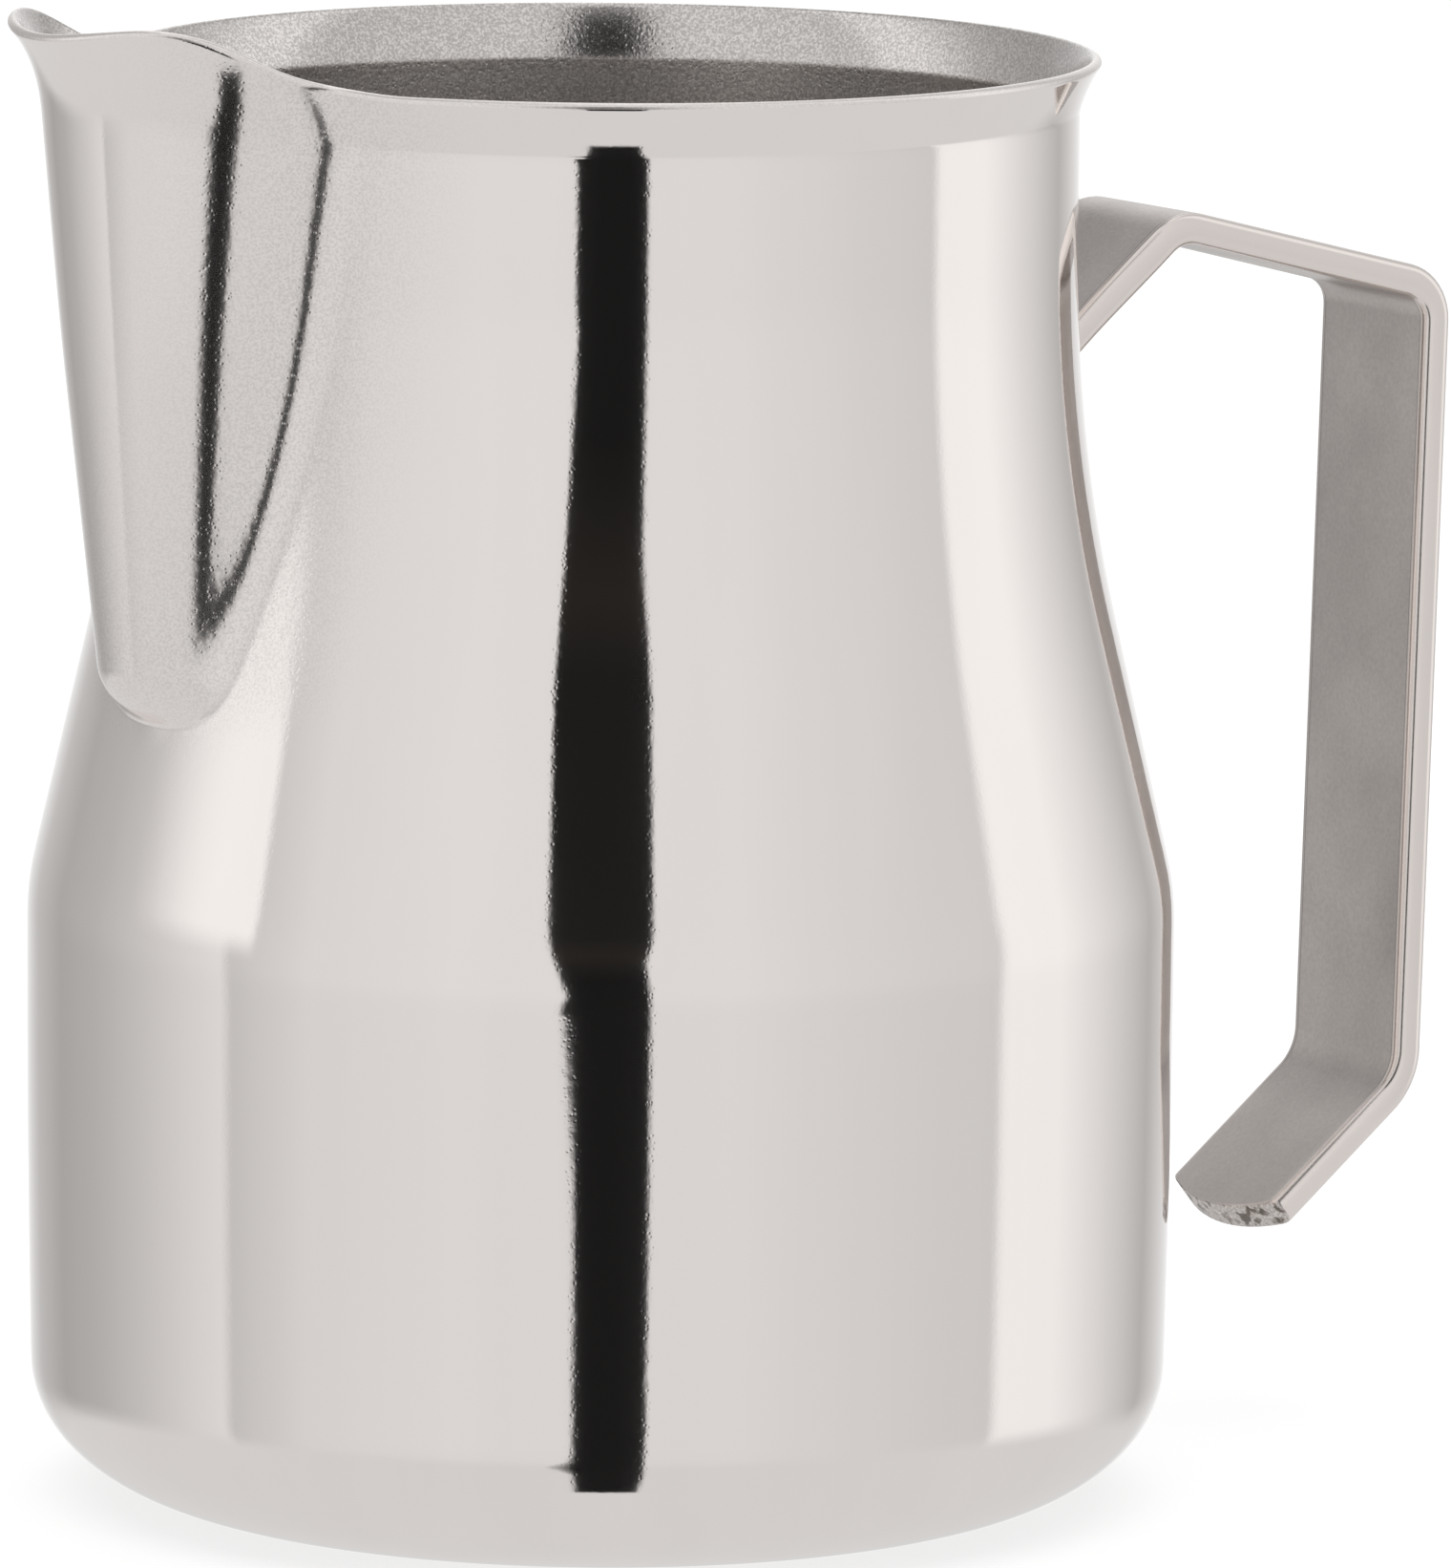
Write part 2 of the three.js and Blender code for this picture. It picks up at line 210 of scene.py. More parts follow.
class Finishes(bpy.types.PropertyGroup):
    """Colours and gloss of the steel"""

    polished: colour("Polished steel", (0.955, 0.905, 0.877), "Colour of the buffed outside of the cup")
    inside: colour("Inside", (0.86, 0.82, 0.795), "Colour of the satin inside of the cup")
    satin: colour("Satin steel", (0.625, 0.578, 0.552), "Colour of the handle's brushed faces")
    weld: colour("Weld", (0.42, 0.38, 0.34), "Colour of the spot welds")
    polished_roughness: share("Polished roughness", 0.045, "Roughness of the buffed steel")
    strained_roughness: share("Strained roughness", 0.14, "Roughness added where the spout was drawn")
    peel_depth: length("Peel depth", 0.0018, "Depth of the buffed steel's orange peel")
    inside_roughness: share("Inside roughness", 0.30, "Roughness of the satin inside")
    flare_roughness: share("Flare roughness", 0.17, "Roughness of the inside of the flared lip")
    satin_roughness: share("Satin roughness", 0.34, "Roughness of the brushed steel")


class StudioSettings(bpy.types.PropertyGroup):
    """The camera's stand and the light"""

    azimuth: turn("Camera azimuth", -33.0, "Bearing of the camera round the pitcher")
    elevation: turn("Camera elevation", 8.64, "Angle of the camera above the pitcher")
    distance: length("Camera distance", 1100.0, "From the camera to the point it stands round")
    centre_height: length("Centre height", 54.0, "Height of the point that the camera stands round")
    aim_right: turn("Aim right", 0.481, "How far the camera turns to its right of that point")
    aim_down: turn("Aim down", 0.063, "How far the camera tips below that point")
    roll: turn("Roll", 0.532, "How far the camera rolls")
    lens: FloatProperty(name="Lens", description="Focal length", default=341.8, min=1.0, unit="CAMERA")
    floor_side: length("Floor side", 6000.0, "Side of the square floor")


# ---------------------------------------------------------------- the cup's shape


def arc_drift(radius, height):
    """How far an arc that starts upright has moved sideways at a height above its start."""
    limited = min(height, radius)
    return radius - math.sqrt(radius * radius - limited * limited)


def smooth_step(value):
    """0 to 1 with an eased start and end."""
    limited = min(1.0, max(0.0, value))
    return limited * limited * (3.0 - 2.0 * limited)


def blend_distance(a, b, width):
    """The smaller of two distances, with the corner between them rounded over a width."""
    part = min(1.0, max(0.0, 0.5 + 0.5 * (b - a) / width))
    return b * (1.0 - part) + a * part - width * part * (1.0 - part)


def solve(low, high, is_low_side):
    """The value between low and high where a test turns false, by halving."""
    while high - low > SOLVED:
        middle = (low + high) / 2.0
        if is_low_side(middle):
            low = middle
        else:
            high = middle
    return high


class CupShape:
    """The cup's outer surface, worked out from its sizes."""

    def __init__(self, cup, spout):
        self.cup = cup
        self.spout = spout
        self.lip_start = cup.rim_height - cup.wall * math.sin(cup.lip_turn) - cup.lip_height
        self.crease_height = cup.crease_radius * math.sin(cup.crease_turn)
        lean_gain = math.sin(cup.lip_turn) - math.sin(cup.crease_turn)
        self.lip_radius = (cup.lip_height - self.crease_height) / lean_gain
        self.neck_height = cup.rim_height - cup.neck_length
        self.taper_start = cup.shoulder_height + cup.shoulder_bend
        self.neck_bend = min(cup.neck_bend, self.neck_height - self.taper_start)
        self.taper_height = self.neck_height - self.taper_start - self.neck_bend
        self.taper_angle = self.solved_taper()
        self.shoulder_radius = cup.shoulder_bend / math.sin(self.taper_angle)
        self.neck_bend_radius = self.neck_bend / math.sin(self.taper_angle)
        self.taper_radius = cup.belly_radius - arc_drift(self.shoulder_radius, cup.shoulder_bend)
        self.toe_height = cup.rim_height - spout.drop
        self.toe_bottom = self.toe_height - spout.toe_curl
        self.top_reach = cup.neck_radius + spout.top_proud
        self.toe_reach = self.wall_radius(self.toe_height) + spout.toe_proud
        self.tip_reach = self.top_reach + arc_drift(spout.lip_radius, spout.lip_height)

    def solved_taper(self):
        """Lean of the straight taper that, with its two bends, takes the belly in to the neck."""
        step = self.cup.belly_radius - self.cup.neck_radius
        bends = self.cup.shoulder_bend + self.neck_bend

        def falls_short(half_tangent):
            tangent = 2 * half_tangent / (1 - half_tangent**2)
            return bends * half_tangent + self.taper_height * tangent < step

        return 2 * math.atan(solve(0.0, 0.99, falls_short))

    def lip_drift(self, height):
        """How far the flared lip has moved outward at a height above its start."""
        cup = self.cup
        if height < self.crease_height:
            return arc_drift(cup.crease_radius, max(0.0, height))
        lean = min(1.0, math.sin(cup.crease_turn) + (height - self.crease_height) / self.lip_radius)
        crease = arc_drift(cup.crease_radius, self.crease_height)
        return crease + self.lip_radius * (math.cos(cup.crease_turn) - math.sqrt(1 - lean * lean))

    def wall_radius(self, z):
        """Outer radius of the round wall at a height."""
        cup = self.cup
        if z < cup.corner_height:
            down = 1 - z / cup.corner_height
            foot = cup.belly_radius - cup.belly_fall
            return foot - cup.corner_width * (1 - math.sqrt(max(0.0, 1 - down * down)))
        if z < cup.shoulder_height:
            down = (cup.shoulder_height - z) / (cup.shoulder_height - cup.corner_height)
            return cup.belly_radius - cup.belly_fall * down * down
        if z < self.taper_start:
            return cup.belly_radius - arc_drift(self.shoulder_radius, z - cup.shoulder_height)
        if z < self.taper_start + self.taper_height:
            return self.taper_radius - (z - self.taper_start) * math.tan(self.taper_angle)
        if z < self.neck_height:
            return cup.neck_radius + arc_drift(self.neck_bend_radius, self.neck_height - z)
        return cup.neck_radius + self.lip_drift(z - self.lip_start)

    def nose_at(self, z):
        """Reach of the centre, radius and blend width of the spout's plan circle at a height."""
        spout = self.spout
        up = (z - self.toe_height) / spout.drop
        inward = arc_drift(spout.toe_curl, max(0.0, self.toe_height + spout.toe_curl - z))
        outward = arc_drift(spout.lip_radius, max(0.0, z - self.cup.rim_height + spout.lip_height))
        reach = self.toe_reach + (self.top_reach - self.toe_reach) * up
        radius = spout.toe_radius + (spout.top_radius - spout.toe_radius) * up
        fillet = spout.toe_fillet + (spout.top_fillet - spout.toe_fillet) * max(0.0, up)
        return reach - radius + outward, radius - inward, fillet

    def plan_distance(self, forward, aside, wall, nose):
        """Signed plan distance from the outer surface, at the height that wall and nose belong to."""
        centre, radius, fillet = nose
        to_wall = math.hypot(forward, aside) - wall
        to_nose = math.hypot(forward - centre, aside) - radius
        return blend_distance(to_wall, to_nose, fillet)

    def strain(self, forward, aside, z):
        """How hard the sheet was worked at a plan point: 1 in the hollow beside the nose, 0 far from it."""
        if z < self.toe_bottom:
            return 0.0
        centre, radius, _ = self.nose_at(z)
        to_wall = math.hypot(forward, aside) - self.wall_radius(z)
        to_nose = math.hypot(forward - centre, aside) - radius
        fade = smooth_step((z - self.toe_bottom) / STRAIN_FADE)
        return fade * smooth_step(1 - abs(to_wall - to_nose) / STRAIN_REACH)

    def pressed_radius(self, angle, z):
        """Radius of the outer surface along one plan direction, measured from the spout's."""
        wall = self.wall_radius(z)
        if z < self.toe_bottom:
            return wall
        nose = self.nose_at(z)
        ahead, aside = math.cos(angle), math.sin(angle)

        def is_inside(radius):
            return self.plan_distance(radius * ahead, radius * aside, wall, nose) < 0.0

        return solve(self.cup.neck_radius / 2, self.tip_reach + self.spout.top_fillet, is_inside)

    def rim_climb(self, forward, aside, z):
        """How far the rim and the wall just below it climb at a plan point."""
        spout = self.spout
        climb = smooth_step(1 - (self.tip_reach - spout.level_run - forward) / spout.rise_run)
        dip = smooth_step(1 - abs(aside) / spout.top_radius)
        part = smooth_step(1 - (self.cup.rim_height - z) / spout.rise_depth)
        return (spout.rise - spout.dip * dip) * climb * part

    def heights(self):
        """Heights of the rings of faces, from the base's edge to the rim's outer edge."""
        cup = self.cup
        quarter = math.pi / 2
        rings = [cup.corner_height * (1 - math.cos(quarter * i / CORNER_ROWS)) for i in range(CORNER_ROWS)]
        z = cup.corner_height
        while z < self.lip_start - ROW_HEIGHT / 2:
            rings.append(z)
            is_toe = self.toe_bottom - ROW_HEIGHT < z < self.toe_height + self.spout.toe_curl
            z += TOE_ROW_HEIGHT if is_toe else ROW_HEIGHT
        rings += [self.lip_start + self.crease_height * i / CREASE_ROWS for i in range(CREASE_ROWS)]
        flare_start = self.lip_start + self.crease_height
        flare_height = cup.lip_height - self.crease_height
        rings += [flare_start + flare_height * i / LIP_ROWS for i in range(LIP_ROWS + 1)]
        return rings


# ---------------------------------------------------------------- modelling


def pick(piece):
    """Selects one piece and makes it the active one."""
    bpy.ops.object.select_all(action="DESELECT")
    bpy.context.view_layer.objects.active = piece
    piece.select_set(True)


def rename(piece, name):
    """Gives a piece and its mesh a name."""
    piece.name = name
    piece.data.name = name


def edit(piece):
    """Starts edit mode on one piece, with nothing selected."""
    pick(piece)
    bpy.ops.object.mode_set(mode="EDIT")
    bpy.ops.mesh.select_all(action="DESELECT")


def select_faces(piece, is_wanted):
    """Selects the faces that pass a test, in edit mode."""
    bpy.ops.mesh.select_mode(type="FACE")
    mesh = bmesh.from_edit_mesh(piece.data)
    for face in mesh.faces:
        face.select_set(is_wanted(face))
    mesh.select_flush_mode()
    bmesh.update_edit_mesh(piece.data)


def select_edges(piece, is_wanted):
    """Selects the edges that pass a test, in edit mode."""
    bpy.ops.mesh.select_mode(type="EDGE")
    mesh = bmesh.from_edit_mesh(piece.data)
    for edge in mesh.edges:
        edge.select_set(is_wanted(edge))
    bmesh.update_edit_mesh(piece.data)


def round_selected(radius, segments):
    """Rounds the selected edges, in edit mode."""
    bpy.ops.mesh.bevel(offset=radius, segments=segments, profile=0.5, affect="EDGES")


def apply_modifier(piece, kind, **settings):
    """Adds a modifier to a piece and applies it."""
    pick(piece)
    modifier = piece.modifiers.new(kind.title(), kind)
    for name, value in settings.items():
        setattr(modifier, name, value)
    bpy.ops.object.modifier_apply(modifier=modifier.name)


def settle(piece, slot, *nodes):
    """Puts a finished piece's place in its mesh, checks that it is closed, and ties it to the frame."""
    pick(piece)
    bpy.ops.object.transform_apply(location=True, rotation=True, scale=True)
    bpy.ops.object.shade_smooth()
    mesh = bmesh.new()
    mesh.from_mesh(piece.data)
    is_closed = all(edge.is_manifold for edge in mesh.edges)
    volume = mesh.calc_volume(signed=True)
    mesh.free()
    if not is_closed or volume <= 0.0:
        raise RuntimeError(f"{piece.name} isn't a closed solid with its faces outward")
    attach(piece, "root")
    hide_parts(*nodes)


def drawn_line(name, points):
    """A new piece that is one line of edges, extruded point by point."""
    bpy.ops.object.select_all(action="DESELECT")
    bpy.ops.mesh.primitive_plane_add(size=MILLIMETRE, location=points[0])
    piece = bpy.context.object
    rename(piece, name)
    bpy.ops.object.transform_apply(location=True)
    edit(piece)
    bpy.ops.mesh.select_all(action="SELECT")
    bpy.ops.mesh.merge(type="CENTER")
    for start, end in zip(points, points[1:]):
        bpy.ops.mesh.extrude_region_move(TRANSFORM_OT_translate={"value": end - start})
    return piece


class PITCHER_OT_cup(bpy.types.Operator):
    """Turn the cup from its outline, press the spout out of the wall and give the sheet its thickness"""

    bl_idname = "pitcher.cup"
    bl_label = "Cup and spout"

    def execute(self, context):
        cup = context.scene.pitcher_cup
        shape = CupShape(cup, context.scene.pitcher_spout)
        piece = self.turned(shape)
        self.press_spout(piece, shape)
        for finish in (polished_steel(context), inside_steel(context), rim_steel(context)):
            piece.data.materials.append(finish)
        apply_modifier(
            piece,
            "SOLIDIFY",
            thickness=cup.wall,
            offset=-1.0,
            use_even_offset=True,
            material_offset=INNER_FINISH,
            material_offset_rim=RIM_FINISH,
        )
        self.round_rim(piece, cup.rim_round)
        settle(piece, "polished_steel", "pitcher_body")
        return {"FINISHED"}

    def turned(self, shape):
        """The round cup as one sheet, spun from its outline."""
        edge = shape.wall_radius(0.0)
        line = [Vector((-edge * i / BASE_ROWS, 0.0, 0.0)) for i in range(BASE_ROWS)]
        line += [Vector((-shape.wall_radius(z), 0.0, z)) for z in shape.heights()]
        piece = drawn_line("cup", line)
        bpy.ops.mesh.select_all(action="SELECT")
        columns = shape.cup.columns
        bpy.ops.mesh.spin(steps=columns, angle=2 * math.pi, center=(0, 0, 0), axis=(0, 0, 1))
        bpy.ops.mesh.select_all(action="SELECT")
        bpy.ops.mesh.remove_doubles(threshold=MERGED)
        bpy.ops.mesh.normals_make_consistent(inside=False)
        bpy.ops.object.mode_set(mode="OBJECT")
        underside = min(piece.data.polygons, key=lambda face: face.center.z)
        if underside.normal.z > 0.0:
            edit(piece)
            bpy.ops.mesh.select_all(action="SELECT")
            bpy.ops.mesh.flip_normals()
            bpy.ops.object.mode_set(mode="OBJECT")
        return piece

    def press_spout(self, piece, shape):
        """Moves the wall out to the spout, and notes on each vertex how hard the sheet was worked there."""
        strain = piece.data.attributes.new("strain", "FLOAT", "POINT")
        for vertex in piece.data.vertices:
            x, y, z = vertex.co
            even = math.atan2(-y, -x)
            angle = even - shape.spout.crowding * math.sin(even)
            radius = math.hypot(x, y)
            height = z
            if z > shape.toe_bottom:
                radius = shape.pressed_radius(angle, z)
                forward, aside = radius * math.cos(angle), radius * math.sin(angle)
                strain.data[vertex.index].value = shape.strain(forward, aside, z)
                height += shape.rim_climb(forward, aside, z)
            vertex.co = (-radius * math.cos(angle), -radius * math.sin(angle), height)

    def round_rim(self, piece, rounding):
        """Rounds both edges of the rim."""
        edit(piece)
        select_faces(piece, lambda face: face.material_index == RIM_FINISH)
        bpy.ops.mesh.region_to_loop()
        round_selected(rounding, 3)
        bpy.ops.object.mode_set(mode="OBJECT")


# ---------------------------------------------------------------- the handle


class HandlePath:
    """The handle's centre line, as corner points in the XZ plane and a bend at each corner between them."""

    def __init__(self, sizes, shape):
        cup = shape.cup
        gap = sizes.tab_clearance + sizes.thickness / 2
        self.tab_head_height = cup.rim_height - sizes.tab_head_drop
        self.tab_foot = self.beside_wall(shape, self.tab_head_height - sizes.tab_length, gap)
        self.tab_head = self.beside_wall(shape, self.tab_head_height, gap)
        self.arch = Vector((cup.neck_radius + sizes.arch_proud, cup.rim_height - sizes.arch_drop))
        belly = cup.belly_radius
        grip_top = Vector((belly + sizes.grip_top_proud, cup.rim_height - sizes.grip_top_drop))
        grip_foot = Vector((belly + sizes.grip_foot_proud, sizes.grip_foot_height))
        self.tongue_end = Vector((belly + sizes.tongue_proud, sizes.tongue_height))
        self.corners = [self.tab_foot, self.tab_head, self.arch, grip_top, grip_foot, self.tongue_end]
        self.bends = [sizes.tab_bend, sizes.arch_bend, sizes.grip_top_bend, sizes.grip_foot_bend]
        self.tongue_line = (self.tongue_end - grip_foot).normalized()
        self.tab_line = (self.tab_head - self.tab_foot).normalized()
        self.tab_lean = math.atan2(-self.tab_line.x, self.tab_line.y)

    @staticmethod
    def beside_wall(shape, z, gap):
        """The point of the centre line that lies against the wall at a height."""
        return Vector((shape.wall_radius(z) + gap, z))

    def turn_at(self, corner):
        """Signed turn at a corner, and the distance from the corner to either end of its bend."""
        before = (self.corners[corner] - self.corners[corner - 1]).normalized()
        after = (self.corners[corner + 1] - self.corners[corner]).normalized()
        angle = math.atan2(before.x * after.y - before.y * after.x, before.dot(after))
        return angle, self.bends[corner - 1] * math.tan(abs(angle) / 2)

    def tab_flat(self):
        """Length of the tab below its bend."""
        return (self.tab_head - self.tab_foot).length - self.turn_at(1)[1]


def upright(point):
    """A point of the XZ plane as a point in space."""
    return Vector((point.x, 0.0, point.y))


class PITCHER_OT_handle(bpy.types.Operator):
    """Bend the strip along its path, round its edges, cut its free end and curl its tab to the neck"""

    bl_idname = "pitcher.handle"
    bl_label = "Handle"

    def execute(self, context):
        sizes = context.scene.pitcher_handle
        shape = CupShape(context.scene.pitcher_cup, context.scene.pitcher_spout)
        path = HandlePath(sizes, shape)
        piece = self.bent(sizes, path)
        self.cut_end(piece, sizes, path)
        for finish in (satin_steel(context), sheared_steel(context)):
            piece.data.materials.append(finish)
        self.round_edges(piece, sizes)
        self.curl_tab(piece, shape, path)
        self.drill_tab(piece, sizes, path)
        settle(piece, "satin_steel", "handle_strip")
        return {"FINISHED"}

    def bent(self, sizes, path):
        """The strip, extruded along each straight and spun round each bend."""
        bpy.ops.object.select_all(action="DESELECT")
        bpy.ops.mesh.primitive_grid_add(
            x_subdivisions=STRIP_LAYERS, y_subdivisions=STRIP_COLUMNS, size=1.0
        )
        piece = bpy.context.object
        rename(piece, "handle")
        place = Matrix.Translation(upright(path.tab_foot)) @ Matrix.Rotation(-path.tab_lean, 4, "Y")
        piece.matrix_world = place @ Matrix.Diagonal((sizes.thickness, sizes.width, 1.0, 1.0))
        bpy.ops.object.transform_apply(location=True, rotation=True, scale=True)
        edit(piece)
        bpy.ops.mesh.select_all(action="SELECT")
        here = path.corners[0]
        for corner, target in enumerate(path.corners[1:], start=1):
            along = (target - here).normalized()
            is_last = target is path.corners[-1]
            angle, trim = (0.0, 0.0) if is_last else path.turn_at(corner)
            run = (target - here).length - trim
            steps = round(run / STRIP_STEP) if corner <= CURLED_RUNS else 1
            stride = upright(along) * run / steps
            for _ in range(steps):
                bpy.ops.mesh.extrude_region_move(TRANSFORM_OT_translate={"value": stride})
            here = here + along * run
            if not is_last:
                radius = path.bends[corner - 1]
                side = math.copysign(1.0, angle)
                centre = here + Vector((-along.y, along.x)) * side * radius
                axis = (0.0, side, 0.0)
                bpy.ops.mesh.spin(steps=BEND_STEPS, angle=abs(angle), center=upright(centre), axis=axis)
                here = target + (path.corners[corner + 1] - target).normalized() * trim
        bpy.ops.mesh.select_all(action="SELECT")
        bpy.ops.mesh.normals_make_consistent(inside=False)
        bpy.ops.object.mode_set(mode="OBJECT")
        return piece

    def cut_end(self, piece, sizes, path):
        """Draws the free end's face back to a shallow arc, and notes the faces of both ends."""
        end, line = upright(path.tongue_end), upright(path.tongue_line)
        tab_end, tab_line = upright(path.tab_foot), upright(path.tab_line)
        for face in piece.data.polygons:
            for place, direction in ((end, line), (tab_end, tab_line)):
                is_there = abs((face.center - place).dot(direction)) < TOUCH
                if is_there and abs(face.normal.dot(direction)) > 0.9:
                    face.material_index = SHEARED_END
        for vertex in piece.data.vertices:
            away = vertex.co - end
            if abs(away.dot(line)) < TOUCH and away.length < sizes.width:
                vertex.co -= line * arc_drift(sizes.tongue_radius, abs(vertex.co.y))

    def round_edges(self, piece, sizes):
        """Rounds the strip's four long edges, and takes the burr off its two ends."""
        reach = sizes.width / 2 - TOUCH

        def is_sharp(edge):
            return edge.calc_face_angle() > math.radians(60)

        def is_long(edge):
            at_end = any(face.material_index == SHEARED_END for face in edge.link_faces)
            at_side = all(abs(vertex.co.y) > reach for vertex in edge.verts)
            return is_sharp(edge) and at_side and not at_end

        edit(piece)
        select_edges(piece, is_long)
        round_selected(sizes.edge_radius, 5)
        select_edges(piece, is_sharp)
        round_selected(sizes.end_radius, 2)
        bpy.ops.object.mode_set(mode="OBJECT")

    def curl_tab(self, piece, shape, path):
        """Presses the tab, and the strip just above it, to the roundness of the neck."""
        for vertex in piece.data.vertices:
            x, y, z = vertex.co
            radius = shape.wall_radius(z)
            hold = smooth_step((path.arch.x - x) / (path.arch.x - path.tab_foot.x))
            vertex.co.x = x - hold * (radius - math.sqrt(radius * radius - y * y))

    def drill_tab(self, piece, sizes, path):
        """Drills the tab where the spot welds come through."""
        radius = sizes.weld_radius + sizes.weld_clearance
        for up in WELD_SHARES.values():
            drill = weld_plug(path, up, radius, 2 * sizes.thickness)
            apply_modifier(piece, "BOOLEAN", operation="DIFFERENCE", object=drill, solver="EXACT")
            bpy.data.objects.remove(drill)


def weld_plug(path, up, radius, depth):
    """A cylinder square to the tab, centred on the strip's centre line a share of the way up the tab."""
    centre = path.tab_foot + path.tab_line * path.tab_flat() * up
    bpy.ops.object.select_all(action="DESELECT")
    bpy.ops.mesh.primitive_cylinder_add(
        vertices=WELD_FACES,
        radius=radius,
        depth=depth,
        location=upright(centre),
        rotation=(0.0, math.pi / 2 - path.tab_lean, 0.0),
    )
    return bpy.context.object


class PITCHER_OT_spot_welds(bpy.types.Operator):
    """Set the two spot welds, each a nugget with the electrode's shallow mark"""

    bl_idname = "pitcher.spot_welds"
    bl_label = "Spot welds"

    def execute(self, context):
        sizes = context.scene.pitcher_handle
        shape = CupShape(context.scene.pitcher_cup, context.scene.pitcher_spout)
        path = HandlePath(sizes, shape)
        for name, up in WELD_SHARES.items():
            self.set_weld(context, sizes, path, name, up)
        return {"FINISHED"}

    def set_weld(self, context, sizes, path, name, up):
        """One nugget, from just off the neck to just below the tab's outer face."""
        inner = -sizes.thickness / 2 - sizes.tab_clearance + sizes.weld_clearance
        outer = sizes.thickness / 2 - sizes.weld_dent
        piece = weld_plug(path, up, sizes.weld_radius, outer - inner)
        rename(piece, name.replace("spot_weld", "nugget"))
        piece.location += piece.matrix_world.to_3x3() @ Vector((0.0, 0.0, (inner + outer) / 2))
        edit(piece)
        select_faces(piece, lambda face: face.normal.z > 0.9)
        bpy.ops.mesh.inset(thickness=DENT_MARGIN * sizes.weld_radius)
        bpy.ops.mesh.extrude_region_move()
        bpy.ops.transform.translate(value=(0.0, 0.0, -sizes.weld_dent), orient_type="LOCAL")
        bpy.ops.transform.resize(value=(DENT_FLOOR, DENT_FLOOR, DENT_FLOOR))
        bpy.ops.mesh.poke()
        bpy.ops.object.mode_set(mode="OBJECT")
        rounding = {"width": WELD_EDGE, "segments": 3, "angle_limit": WELD_EDGE_ANGLE}
        apply_modifier(piece, "BEVEL", limit_method="ANGLE", **rounding)
        piece.data.materials.append(weld_steel(context))
        settle(piece, "weld_steel", name)


# ---------------------------------------------------------------- nodes

PIT_SCALE = 2600.0
WAVE_SCALE = 260.0
SPECKLE_SCALE = 5200.0


def add_node(tree, kind, place, inputs=None, **settings):
    """Adds a node at a place, sets its own settings, and sets or links its inputs."""
    node = tree.nodes.new(kind)
    node.location = place
    for name, value in settings.items():
        setattr(node, name, value)
    for name, value in (inputs or {}).items():
        socket = node.inputs[name]
        if isinstance(value, bpy.types.NodeSocket):
            tree.links.new(value, socket)
        else:
            socket.default_value = value
    return node


def math_node(tree, place, operation, *values):
    """Arithmetic on numbers or sockets."""
    node = add_node(tree, "ShaderNodeMath", place, dict(enumerate(values)), operation=operation)
    return node.outputs[0]


def range_node(tree, place, value, start, end, to_start=0.0, to_end=1.0, **settings):
    """A value taken from one range to another, and held at its ends."""
    inputs = {"Value": value, "From Min": start, "From Max": end, "To Min": to_start, "To Max": to_end}
    return add_node(tree, "ShaderNodeMapRange", place, inputs, **settings).outputs[0]


def noise_node(tree, place, vector, scale, detail):
    """A noise, from 0 to 1."""
    inputs = {"Vector": vector, "Scale": scale, "Detail": detail}
    return add_node(tree, "ShaderNodeTexNoise", place, inputs).outputs[0]


def scale_node(tree, place, vector, scale):
    """A vector or colour times a number."""
    inputs = {0: vector, "Scale": scale}
    return add_node(tree, "ShaderNodeVectorMath", place, inputs, operation="SCALE").outputs[0]


def mix_node(tree, place, factor, first, second, **settings):
    """The first colour where the factor is 0, and the second where it is 1."""
    inputs = {"Factor": factor, "A": first, "B": second}
    return add_node(tree, "ShaderNodeMix", place, inputs, data_type="RGBA", **settings).outputs["Result"]


def bump_node(tree, place, height, depth, strength=1.0):
    """A normal bent by a height."""
    inputs = {"Height": height, "Strength": strength, "Distance": depth}
    return add_node(tree, "ShaderNodeBump", place, inputs).outputs[0]


def ramp_node(tree, place, value, stops):
    """A colour ramp over stops of (position, red, green, blue)."""
    ramp = add_node(tree, "ShaderNodeValToRGB", place, {"Fac": value})
    elements = ramp.color_ramp.elements
    elements[0].position = stops[0][0]
    elements[1].position = stops[-1][0]
    for position, *_ in stops[1:-1]:
        elements.new(position)
    for element, (_, *tones) in zip(elements, stops):
        element.color = (*tones, 1.0)
    return ramp.outputs["Color"]


def link_inputs(tree, node, sources):
    """Links outputs to a node's inputs by name."""
    for name, source in sources.items():
        tree.links.new(source, node.inputs[name])


def opaque(tone, gain=1.0):
    """A colour times a gain, with its alpha."""
    return (*(gain * value for value in tone), 1.0)


def grey(value):
    """A grey with its alpha."""
    return (value, value, value, 1.0)


